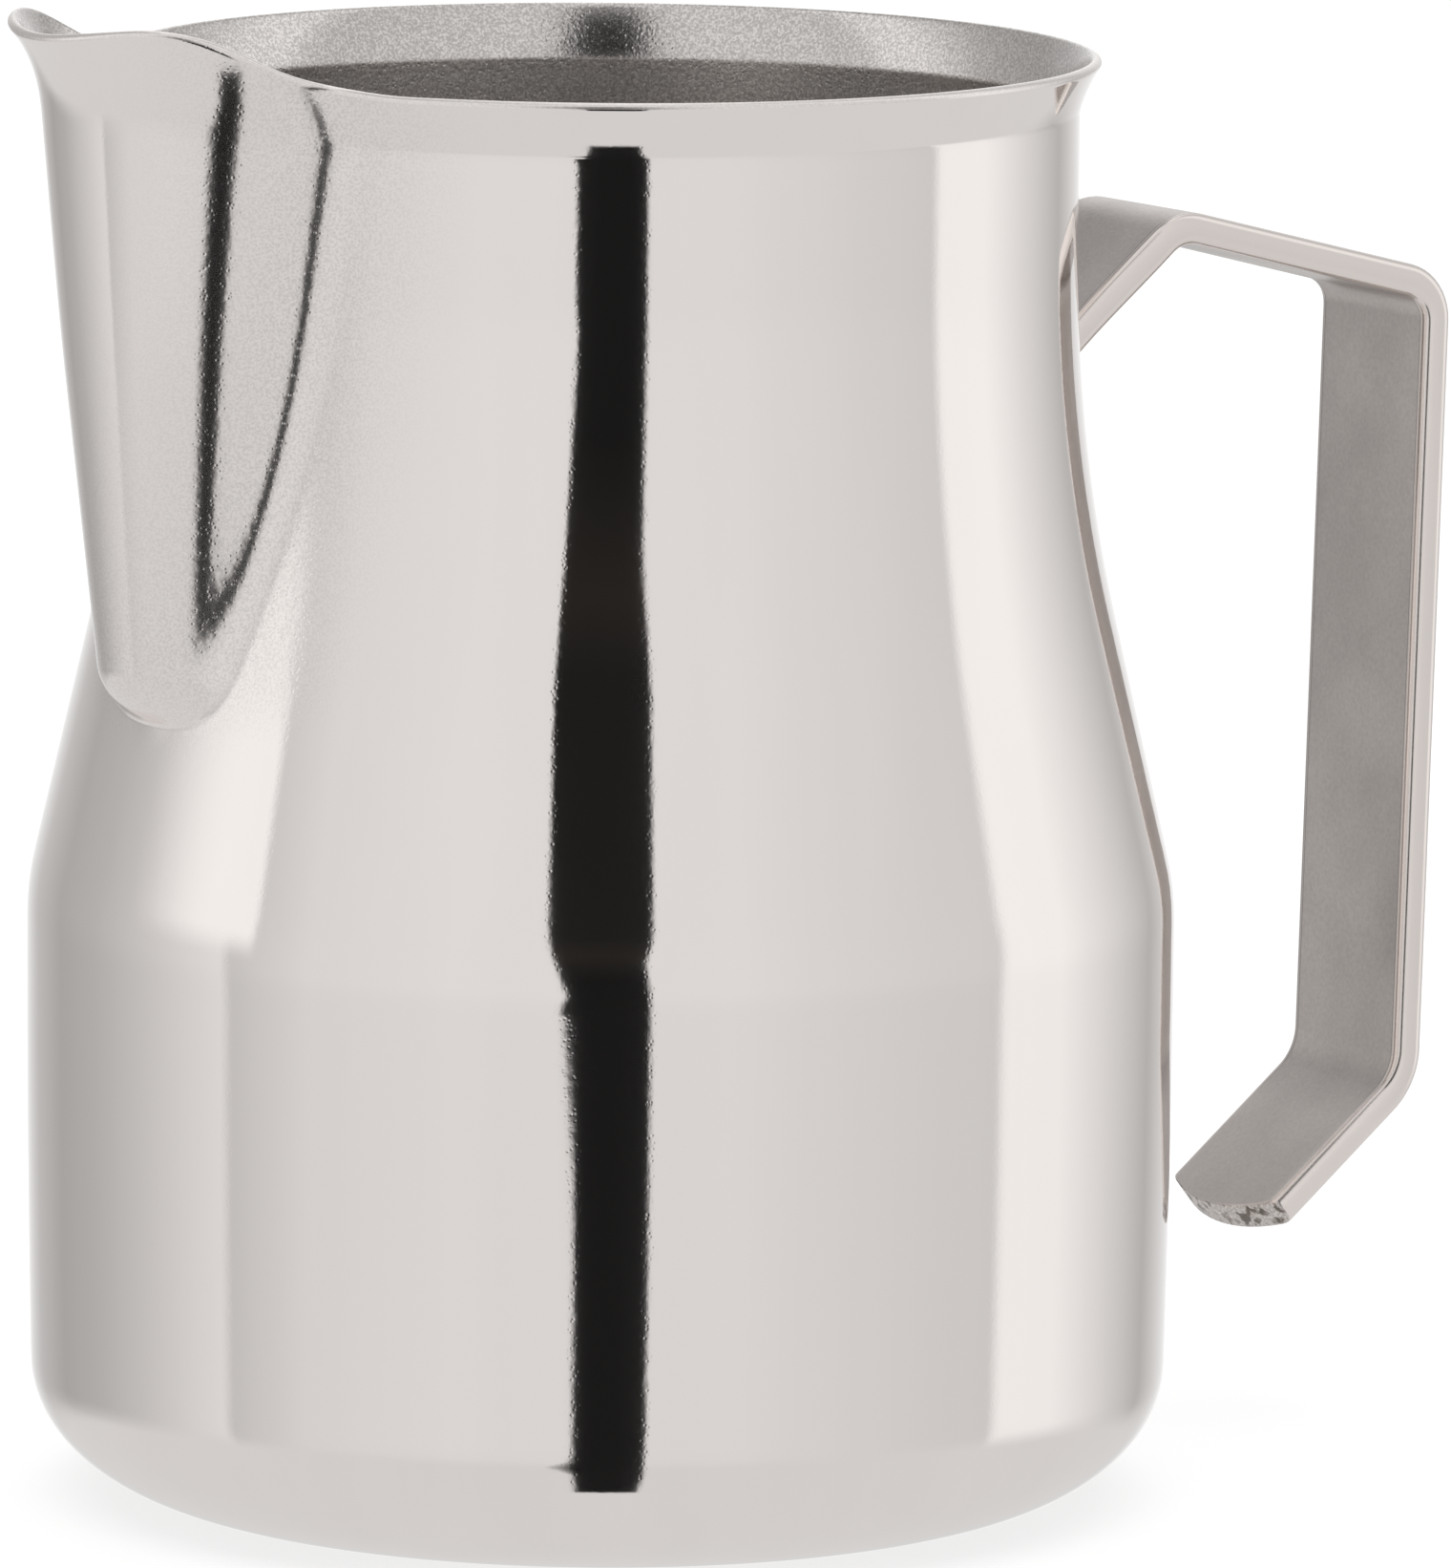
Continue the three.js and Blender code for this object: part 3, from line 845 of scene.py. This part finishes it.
def rolled_grain_group():
    """Fine pits and orange peel of drawn sheet, with a slow unevenness under them."""
    name = "Rolled grain"
    if name in bpy.data.node_groups:
        return bpy.data.node_groups[name]
    group = bpy.data.node_groups.new(name, "ShaderNodeTree")
    group.interface.new_socket("Vector", in_out="INPUT", socket_type="NodeSocketVector")
    for socket, default in {"Peel Scale": 1500.0, "Pits": 0.5, "Unevenness": 0.5}.items():
        made = group.interface.new_socket(socket, in_out="INPUT", socket_type="NodeSocketFloat")
        made.default_value = default
    for socket in ("Height", "Speckle"):
        group.interface.new_socket(socket, in_out="OUTPUT", socket_type="NodeSocketFloat")
    start = add_node(group, "NodeGroupInput", (-900, 0)).outputs
    vector = start["Vector"]
    peel = noise_node(group, (-600, 200), vector, start["Peel Scale"], 2.0)
    pits = add_node(group, "ShaderNodeTexVoronoi", (-600, -60), {"Vector": vector, "Scale": PIT_SCALE})
    pit_depth = range_node(group, (-400, -60), pits.outputs["Distance"], 0.0, 0.35, -1.0, 0.0)
    pitted = math_node(group, (-200, -60), "MULTIPLY", pit_depth, start["Pits"])
    wave = noise_node(group, (-600, -340), vector, WAVE_SCALE, 1.0)
    waved = math_node(group, (-200, -340), "MULTIPLY", wave, start["Unevenness"])
    grain = math_node(group, (0, 60), "ADD", peel, pitted)
    dots = noise_node(group, (-600, 500), vector, SPECKLE_SCALE, 1.0)
    ends = {
        "Height": math_node(group, (200, 0), "ADD", grain, waved),
        "Speckle": range_node(group, (0, 300), dots, 0.4, 0.65),
    }
    link_inputs(group, add_node(group, "NodeGroupOutput", (700, 0)), ends)
    return group


# ---------------------------------------------------------------- materials

# The buffing's fine upright lines: how finely they lie across X and Y, and along Z.
BUFFING_SCALE = (1500.0, 1500.0, 40.0)
BUFFING_PATCHES = 0.12
BUFFING_HEIGHT = 0.5
# How much coarser the peel is where the sheet was worked hardest, and how dark its pits are.
STRAIN_GAIN = 9.0
PITTED_TONE = 0.82
SATIN_DEPTH = 0.010 * MILLIMETRE
# Half the height over which the inside turns from satin to the flare's smoother finish.
FLARE_FADE = 1.0 * MILLIMETRE
# Tone, roughness and grain across the strip's edge band, from its inner side to the strip's side:
# satin face, two fine dark lines, then the smoother edge, whose raised tone is a painted highlight.
EDGE_BAND = 1.6 * MILLIMETRE
EDGE_HIGHLIGHT_TONES = [
    (0.0, 0.95, 1.0, 0.8),
    (0.42, 0.95, 1.0, 0.8),
    (0.46, 0.40, 1.0, 0.5),
    (0.50, 1.1, 0.8, 0.2),
    (0.60, 1.2, 0.7, 0.1),
    (0.64, 0.50, 0.8, 0.1),
    (0.68, 1.4, 0.6, 0.05),
    (1.0, 1.45, 0.6, 0.05),
]
# The lower leg is painted brighter, as if lit from above, with a stronger painted highlight at its edge and
# no dark lines.
LIT_LEG_TONES = [
    (0.0, 1.2, 0.9, 0.6),
    (0.50, 1.25, 0.9, 0.4),
    (0.66, 1.55, 0.85, 0.05),
    (1.0, 1.5, 0.7, 0.05),
]
LIT_LEG_FADE = 3.0 * MILLIMETRE
# Tone of the sheared end by its tearing.
TORN_STOPS = [
    (0.40, 0.30, 0.28, 0.26),
    (0.47, 0.70, 0.68, 0.66),
    (0.50, 1.0, 1.0, 1.0),
    (1.0, 1.0, 1.0, 1.0),
]


def new_metal(name, base, roughness):
    """A metallic material with its shader, its place in space, and its colour and roughness set."""
    material = bpy.data.materials.new(name)
    material.use_nodes = True
    tree = material.node_tree
    shader = tree.nodes["Principled BSDF"]
    shader.inputs["Base Color"].default_value = opaque(base)
    shader.inputs["Metallic"].default_value = 1.0
    shader.inputs["Roughness"].default_value = roughness
    place = add_node(tree, "ShaderNodeTexCoord", (-1400, 0)).outputs["Object"]
    return material, tree, shader, place


def rolled_grain(tree, place, **inputs):
    """Places the rolled grain in a material."""
    named = {name.replace("_", " ").title(): value for name, value in inputs.items()}
    settings = {"Vector": place, **named}
    return add_node(tree, "ShaderNodeGroup", (-1000, 200), settings, node_tree=rolled_grain_group()).outputs


def polished_steel(context):
    """The buffed outside of the cup: a bright mirror, coarse and dull where the spout was drawn."""
    name = "Polished steel"
    if name in bpy.data.materials:
        return bpy.data.materials[name]
    finishes = context.scene.pitcher_finishes
    tone, gloss = finishes.polished, finishes.polished_roughness
    material, tree, shader, place = new_metal(name, tone, gloss)
    grain = rolled_grain(tree, place, peel_scale=1300.0, pits=0.5)
    buffing = {"Vector": place, "Scale": BUFFING_SCALE}
    buffed = add_node(tree, "ShaderNodeMapping", (-1200, -200), buffing).outputs[0]
    lines = noise_node(tree, (-1000, -100), buffed, 1.0, 3.0)
    patches = noise_node(tree, (-1000, -300), buffed, BUFFING_PATCHES, 2.0)
    strain = add_node(tree, "ShaderNodeAttribute", (-1200, -500), attribute_name="strain").outputs["Fac"]
    gain = range_node(tree, (-1000, -500), strain, 0.0, 1.0, 1.0, STRAIN_GAIN)
    peel = math_node(tree, (-700, 100), "MULTIPLY", grain["Height"], gain)
    line_height = math_node(tree, (-700, -150), "MULTIPLY", lines, BUFFING_HEIGHT)
    height = math_node(tree, (-500, 0), "ADD", peel, line_height)
    rough = range_node(tree, (-500, 300), patches, 0.3, 0.7, 0.7 * gloss, 1.4 * gloss)
    dull = math_node(tree, (-500, 500), "MULTIPLY", strain, finishes.strained_roughness)
    even = mix_node(tree, (-300, 300), patches, opaque(tone, 0.95), opaque(tone))
    pitted = math_node(tree, (-700, 700), "MULTIPLY", strain, grain["Speckle"])
    looks = {
        "Base Color": mix_node(tree, (-100, 400), pitted, even, opaque(tone, PITTED_TONE)),
        "Roughness": math_node(tree, (-300, 450), "ADD", rough, dull),
        "Normal": bump_node(tree, (-300, -200), height, finishes.peel_depth),
    }
    link_inputs(tree, shader, looks)
    return material


def grained_metal(name, base, roughness, depth, darkest, **grain_inputs):
    """A dull metal with a rolled grain of a given depth, darkened to a share between its speckles."""
    if name in bpy.data.materials:
        return bpy.data.materials[name]
    material, tree, shader, place = new_metal(name, base, roughness)
    grain = rolled_grain(tree, place, **grain_inputs)
    looks = {
        "Base Color": mix_node(tree, (-300, 300), grain["Speckle"], opaque(base, darkest), opaque(base)),
        "Normal": bump_node(tree, (-300, -200), grain["Height"], depth),
    }
    link_inputs(tree, shader, looks)
    return material


def inside_steel(context):
    """The satin inside of the cup, finely mottled, and smoother on the flared lip."""
    finishes = context.scene.pitcher_finishes
    lip_start = CupShape(context.scene.pitcher_cup, context.scene.pitcher_spout).lip_start
    material = grained_metal(
        "Inside steel",
        finishes.inside,
        finishes.inside_roughness,
        depth=0.012 * MILLIMETRE,
        darkest=0.65,
        peel_scale=2800.0,
        pits=0.6,
        unevenness=0.2,
    )
    tree = material.node_tree
    place = add_node(tree, "ShaderNodeTexCoord", (-1000, 600)).outputs["Object"]
    height = add_node(tree, "ShaderNodeSeparateXYZ", (-800, 600), {"Vector": place}).outputs["Z"]
    below, above = lip_start - FLARE_FADE, lip_start + FLARE_FADE
    tones = (finishes.inside_roughness, finishes.flare_roughness)
    rough = range_node(tree, (-600, 600), height, below, above, *tones)
    link_inputs(tree, tree.nodes["Principled BSDF"], {"Roughness": rough})
    return material


def rim_steel(context):
    """The rim's edge: the sheet's cut edge, rounded and only roughly buffed."""
    return grained_metal(
        "Rim steel",
        context.scene.pitcher_finishes.polished,
        roughness=0.28,
        depth=0.01 * MILLIMETRE,
        darkest=0.9,
        peel_scale=1500.0,
        pits=0.5,
        unevenness=0.5,
    )


def satin_steel(context):
    """The handle's brushed strip: satin faces, two fine dark lines, and smoother long edges with a painted
    highlight; the lower leg is painted brighter, as if lit from above.
    """
    name = "Satin steel"
    if name in bpy.data.materials:
        return bpy.data.materials[name]
    finishes = context.scene.pitcher_finishes
    half = context.scene.pitcher_handle.width / 2
    shape = CupShape(context.scene.pitcher_cup, context.scene.pitcher_spout)
    leg_top = HandlePath(context.scene.pitcher_handle, shape).corners[4].y
    gloss = finishes.satin_roughness
    material, tree, shader, place = new_metal(name, finishes.satin, gloss)
    grain = rolled_grain(tree, place, peel_scale=2200.0, pits=0.9, unevenness=0.4)
    parts = add_node(tree, "ShaderNodeSeparateXYZ", (-1200, -400), {"Vector": place}).outputs
    aside = math_node(tree, (-1000, -400), "ABSOLUTE", parts["Y"])
    across = range_node(tree, (-800, -400), aside, half - EDGE_BAND, half)
    on_leg = range_node(tree, (-800, -700), parts["Z"], leg_top, leg_top - LIT_LEG_FADE)
    # Painted highlight along the strip's rounded long edges, between two fine dark lines.
    edge = ramp_node(tree, (-600, -400), across, EDGE_HIGHLIGHT_TONES)
    # On the lower leg, the face is painted brighter as if lit from above, and its edge carries a stronger
    # painted highlight.
    lit_leg_edge = ramp_node(tree, (-600, -700), across, LIT_LEG_TONES)
    edges = mix_node(tree, (-300, -600), on_leg, edge, lit_leg_edge)
    edge_parts = add_node(tree, "ShaderNodeSeparateColor", (-150, -500), {"Color": edges}).outputs
    fine = noise_node(tree, (-1000, 500), place, 3200.0, 2.0)
    cloud = noise_node(tree, (-1000, 800), place, 70.0, 3.0)
    speckle = range_node(tree, (-700, 500), fine, 0.3, 0.7, 0.90, 1.06)
    blotch = range_node(tree, (-700, 800), cloud, 0.35, 0.65, 0.82, 1.08)
    mottle = math_node(tree, (-500, 650), "MULTIPLY", speckle, blotch)
    off_even = math_node(tree, (-350, 650), "SUBTRACT", mottle, 1.0)
    mottled = math_node(tree, (-200, 650), "MULTIPLY_ADD", off_even, edge_parts["Blue"], 1.0)
    toned = math_node(tree, (-200, 500), "MULTIPLY", mottled, edge_parts["Red"])
    looks = {
        "Base Color": scale_node(tree, (-100, 350), finishes.satin, toned),
        "Roughness": math_node(tree, (-100, 150), "MULTIPLY", edge_parts["Green"], gloss),
        "Normal": bump_node(tree, (-100, -200), grain["Height"], SATIN_DEPTH, edge_parts["Blue"]),
    }
    link_inputs(tree, shader, looks)
    return material


def sheared_steel(context):
    """The strip's cut ends: bright, with dark torn spots left by the shears."""
    bright = tuple(min(1.0, 1.3 * value) for value in context.scene.pitcher_finishes.satin)
    material = grained_metal(
        "Sheared steel",
        bright,
        roughness=0.32,
        depth=0.03 * MILLIMETRE,
        darkest=0.7,
        peel_scale=900.0,
        pits=1.5,
        unevenness=2.0,
    )
    tree = material.node_tree
    shader = tree.nodes["Principled BSDF"]
    even = shader.inputs["Base Color"].links[0].from_socket
    place = add_node(tree, "ShaderNodeTexCoord", (-1000, 700)).outputs["Object"]
    tears = noise_node(tree, (-800, 700), place, 1100.0, 2.0)
    torn = ramp_node(tree, (-600, 700), tears, TORN_STOPS)
    toned = mix_node(tree, (-100, 500), 1.0, even, torn, blend_type="MULTIPLY")
    link_inputs(tree, shader, {"Base Color": toned})
    return material


def weld_steel(context):
    """The dull, faintly burnt metal of a spot weld."""
    return grained_metal(
        "Weld steel",
        context.scene.pitcher_finishes.weld,
        roughness=0.5,
        depth=0.05 * MILLIMETRE,
        darkest=0.5,
        peel_scale=2500.0,
        pits=1.0,
        unevenness=1.0,
    )


# ---------------------------------------------------------------- the studio

# Tone of the tent round the pitcher, by bearing from the camera, in degrees to the camera's right.
TENT_TONES = [
    (-180, 1.0),
    (-155, 0.52),
    (-138, 0.40),
    (-120, 0.46),
    (-81, 0.74),
    (-79, 0.56),
    (-60, 0.70),
    (-30, 0.74),
    (30, 0.72),
    (86, 0.62),
    (89, 0.90),
    (105, 0.90),
    (144, 0.46),
    (180, 1.0),
]
# The dark gap by height, all in degrees from the camera: height, left edge, right edge, and how soft
# the left edge is.
GAP_EDGES = [
    (-25, -5, 9.5, 0.5),
    (-20, -8, 9.5, 3),
    (-15, -5, 9.5, 0.5),
    (-11, -5, 10, 0.5),
    (-9, -8, 10, 0.5),
    (-5, -6.5, 10, 0.5),
    (9, -9, 9, 0.5),
    (18, -11, 11, 0.5),
]
# The gap's own tone by height, in degrees above level: black, with a faint warm glow above level.
GAP_TONES = [
    (-25, 0.012, 0.012, 0.012),
    (2, 0.010, 0.010, 0.010),
    (12, 0.020, 0.018, 0.016),
    (18, 0.012, 0.012, 0.012),
]
GAP_RANGE = 15.0
GAP_HAIR = 0.5 / (2 * GAP_RANGE)
LOW_TONE = 0.69
PATCH_TONE = 0.95
# Where each soft step in the tent starts and is whole, in degrees of height or bearing.
TABLE_EDGE = (-22.0, -13.0)
WALL_LIFT = (-11.0, -3.0)
WALL_GAINS = (1.02, 1.06)
PATCH_NEAR_SIDE = (-72.0, -75.0)
PATCH_FAR_SIDE = (-112.0, -84.0)
PATCH_FOOT = (-2.0, 8.0)
GAP_FOOT = (-45.0, -43.0)
GAP_HEAD = (75.0, 45.0)
FLOOR_LOOK = {
    "Base Color": grey(0.3),
    "Emission Color": grey(1.0),
    "Emission Strength": 0.72,
    "Roughness": 1.0,
    "Specular IOR Level": 0.0,
}


class PITCHER_OT_studio(bpy.types.Operator):
    """Set the floor, the light tent with its dark gap, the floor's own light, and the camera"""

    bl_idname = "pitcher.studio"
    bl_label = "Studio"

    def execute(self, context):
        self.set_camera(context)
        self.set_floor(context)
        self.set_tent(context)
        context.scene.view_settings.view_transform = "Standard"
        return {"FINISHED"}

    def set_camera(self, context):
        """Stands the camera round the pitcher, then turns, tips and rolls it."""
        studio = context.scene.pitcher_studio
        data = bpy.data.cameras.new("camera")
        data.lens = studio.lens
        data.sensor_width = 36.0
        data.clip_start = 0.05
        data.clip_end = 50.0
        camera = bpy.data.objects.new("camera", data)
        context.scene.collection.objects.link(camera)
        context.scene.camera = camera
        out = Vector((0.0, -math.cos(studio.elevation), math.sin(studio.elevation)))
        out.rotate(Matrix.Rotation(studio.azimuth, 3, "Z"))
        place = Vector((0.0, 0.0, studio.centre_height)) + out * studio.distance
        turned = Matrix.Rotation(studio.azimuth - studio.aim_right, 4, "Z")
        tipped = Matrix.Rotation(math.pi / 2 - studio.elevation - studio.aim_down, 4, "X")
        rolled = Matrix.Rotation(studio.roll, 4, "Z")
        camera.matrix_world = Matrix.Translation(place) @ turned @ tipped @ rolled

    def set_floor(self, context):
        """A plain pale floor with its own soft light from above."""
        bpy.ops.object.select_all(action="DESELECT")
        bpy.ops.mesh.primitive_plane_add(size=context.scene.pitcher_studio.floor_side)
        floor = context.object
        floor.name = "floor"
        floor.visible_glossy = False
        material = bpy.data.materials.new("Floor")
        material.use_nodes = True
        shader = material.node_tree.nodes["Principled BSDF"]
        for name, value in FLOOR_LOOK.items():
            shader.inputs[name].default_value = value
        floor.data.materials.append(material)
        data = bpy.data.lights.new("floor_light", "AREA")
        data.size = 3.0
        data.energy = 42.0
        lamp = bpy.data.objects.new("floor_light", data)
        lamp.location = (0.0, 0.0, 2.0)
        lamp.visible_glossy = False
        lamp.visible_camera = False
        context.scene.collection.objects.link(lamp)

    def set_tent(self, context):
        """The light tent as the world: pale walls, a bright panel and a dark gap at the camera."""
        world = bpy.data.worlds.new("tent")
        context.scene.world = world
        world.use_nodes = True
        tree = world.node_tree
        tree.nodes.clear()
        direction = add_node(tree, "ShaderNodeTexCoord", (-1800, 0)).outputs["Generated"]
        facing = {"Vector": direction, "Rotation": (0.0, 0.0, -context.scene.pitcher_studio.azimuth)}
        turned = add_node(tree, "ShaderNodeMapping", (-1600, 0), facing).outputs[0]
        parts = add_node(tree, "ShaderNodeSeparateXYZ", (-1400, 0), {"Vector": turned}).outputs
        towards = math_node(tree, (-1200, 100), "MULTIPLY", parts["Y"], -1.0)
        bearing = math_node(tree, (-1000, 100), "ARCTAN2", parts["X"], towards)
        height = math_node(tree, (-1200, -200), "ARCSINE", parts["Z"])
        walls = self.walls(tree, bearing, height)
        gap, gap_tone = self.gap(tree, bearing, height)
        tone = mix_node(tree, (300, 0), gap, walls, gap_tone)
        tent = add_node(tree, "ShaderNodeBackground", (500, 0), {"Color": tone})
        backdrop = add_node(tree, "ShaderNodeBackground", (500, -200), {"Color": grey(1.0)})
        seen = add_node(tree, "ShaderNodeLightPath", (300, 300)).outputs["Is Camera Ray"]
        choice = {0: seen, 1: tent.outputs[0], 2: backdrop.outputs[0]}
        chosen = add_node(tree, "ShaderNodeMixShader", (700, 0), choice).outputs[0]
        add_node(tree, "ShaderNodeOutputWorld", (900, 0), {"Surface": chosen})

    def walls(self, tree, bearing, height):
        """The tent's tone: by bearing, brighter higher up, with a patch, and even below the table."""
        around = range_node(tree, (-700, 300), bearing, -math.pi, math.pi)
        stops = [((degrees + 180) / 360, tone, tone, tone) for degrees, tone in TENT_TONES]
        tones = ramp_node(tree, (-500, 300), around, stops)
        lift = self.step(tree, (-700, -50), height, WALL_LIFT)
        gain = range_node(tree, (-500, -50), lift, 0.0, 1.0, *WALL_GAINS)
        lifted = scale_node(tree, (-300, 200), tones, gain)
        near = self.step(tree, (-700, 550), bearing, PATCH_NEAR_SIDE)
        far = self.step(tree, (-700, 750), bearing, PATCH_FAR_SIDE)
        high = self.step(tree, (-700, 950), height, PATCH_FOOT)
        sideways = math_node(tree, (-500, 650), "MULTIPLY", near, far)
        patch = math_node(tree, (-300, 750), "MULTIPLY", sideways, high)
        patched = mix_node(tree, (-100, 400), patch, lifted, grey(PATCH_TONE))
        above = self.step(tree, (-700, -350), height, TABLE_EDGE)
        return mix_node(tree, (0, 200), above, grey(LOW_TONE), patched)

    def gap(self, tree, bearing, height):
        """Mask and tone of the dark gap at the camera, whose edges change with height."""
        low, high = GAP_EDGES[0][0], GAP_EDGES[-1][0]
        level = range_node(tree, (-700, -650), height, math.radians(low), math.radians(high))
        width = 2 * GAP_RANGE
        stops = [
            ((rise - low) / (high - low), 0.5 + left / width, 0.5 + right / width, soft / width)
            for rise, left, right, soft in GAP_EDGES
        ]
        edges = ramp_node(tree, (-500, -650), level, stops)
        edge_parts = add_node(tree, "ShaderNodeSeparateColor", (-250, -650), {"Color": edges}).outputs
        reach = math.radians(GAP_RANGE)
        here = range_node(tree, (-250, -850), bearing, -reach, reach)
        past_left = self.past(tree, (0, -650), here, edge_parts["Red"], edge_parts["Blue"])
        past_right = self.past(tree, (0, -850), edge_parts["Green"], here, GAP_HAIR)
        between = math_node(tree, (350, -750), "MULTIPLY", past_left, past_right)
        above = self.step(tree, (-700, -1050), height, GAP_FOOT)
        below = self.step(tree, (-700, -1250), height, GAP_HEAD)
        upright_part = math_node(tree, (350, -1050), "MULTIPLY", above, below)
        mask = math_node(tree, (500, -850), "MULTIPLY", between, upright_part)
        shades = [((rise - low) / (high - low), *tones) for rise, *tones in GAP_TONES]
        return mask, ramp_node(tree, (500, -600), level, shades)

    @staticmethod
    def past(tree, place, value, edge, soft):
        """0 to 1 as a value passes an edge, within a softness either side of it."""
        x, y = place
        ahead = math_node(tree, (x, y), "SUBTRACT", value, edge)
        softened = math_node(tree, (x + 150, y), "DIVIDE", ahead, soft)
        return range_node(tree, (x + 300, y), softened, -1.0, 1.0)

    @staticmethod
    def step(tree, place, value, angles):
        """0 to 1, eased, as a value goes from one angle in degrees to another."""
        start, end = (math.radians(angle) for angle in angles)
        return range_node(tree, place, value, start, end, interpolation_type="SMOOTHSTEP")


class PITCHER_PT_pieces(bpy.types.Panel):
    """The pitcher's pieces and their sizes"""

    bl_idname = "PITCHER_PT_pieces"
    bl_label = "Pitcher"
    bl_space_type = "VIEW_3D"
    bl_region_type = "UI"
    bl_category = "Pitcher"

    def draw(self, context):
        layout = self.layout
        for operator in OPERATORS:
            layout.operator(operator.bl_idname)
        for name, group in PROPERTY_GROUPS.items():
            box = layout.box()
            box.label(text=group.__name__)
            for key in group.__annotations__:
                box.prop(getattr(context.scene, name), key)


PROPERTY_GROUPS = {
    "pitcher_cup": CupSizes,
    "pitcher_spout": SpoutSizes,
    "pitcher_handle": HandleSizes,
    "pitcher_finishes": Finishes,
    "pitcher_studio": StudioSettings,
}
OPERATORS = (PITCHER_OT_cup, PITCHER_OT_handle, PITCHER_OT_spot_welds, PITCHER_OT_studio)


def register():
    for name, group in PROPERTY_GROUPS.items():
        bpy.utils.register_class(group)
        setattr(bpy.types.Scene, name, PointerProperty(type=group))
    for operator in OPERATORS:
        bpy.utils.register_class(operator)
    bpy.utils.register_class(PITCHER_PT_pieces)


def unregister():
    bpy.utils.unregister_class(PITCHER_PT_pieces)
    for operator in reversed(OPERATORS):
        bpy.utils.unregister_class(operator)
    for name, group in reversed(PROPERTY_GROUPS.items()):
        delattr(bpy.types.Scene, name)
        bpy.utils.unregister_class(group)


def main():
    """Builds every piece and the studio."""
    register()
    bpy.ops.pitcher.cup()
    bpy.ops.pitcher.handle()
    bpy.ops.pitcher.spot_welds()
    bpy.ops.pitcher.studio()


if __name__ == "__main__":
    main()
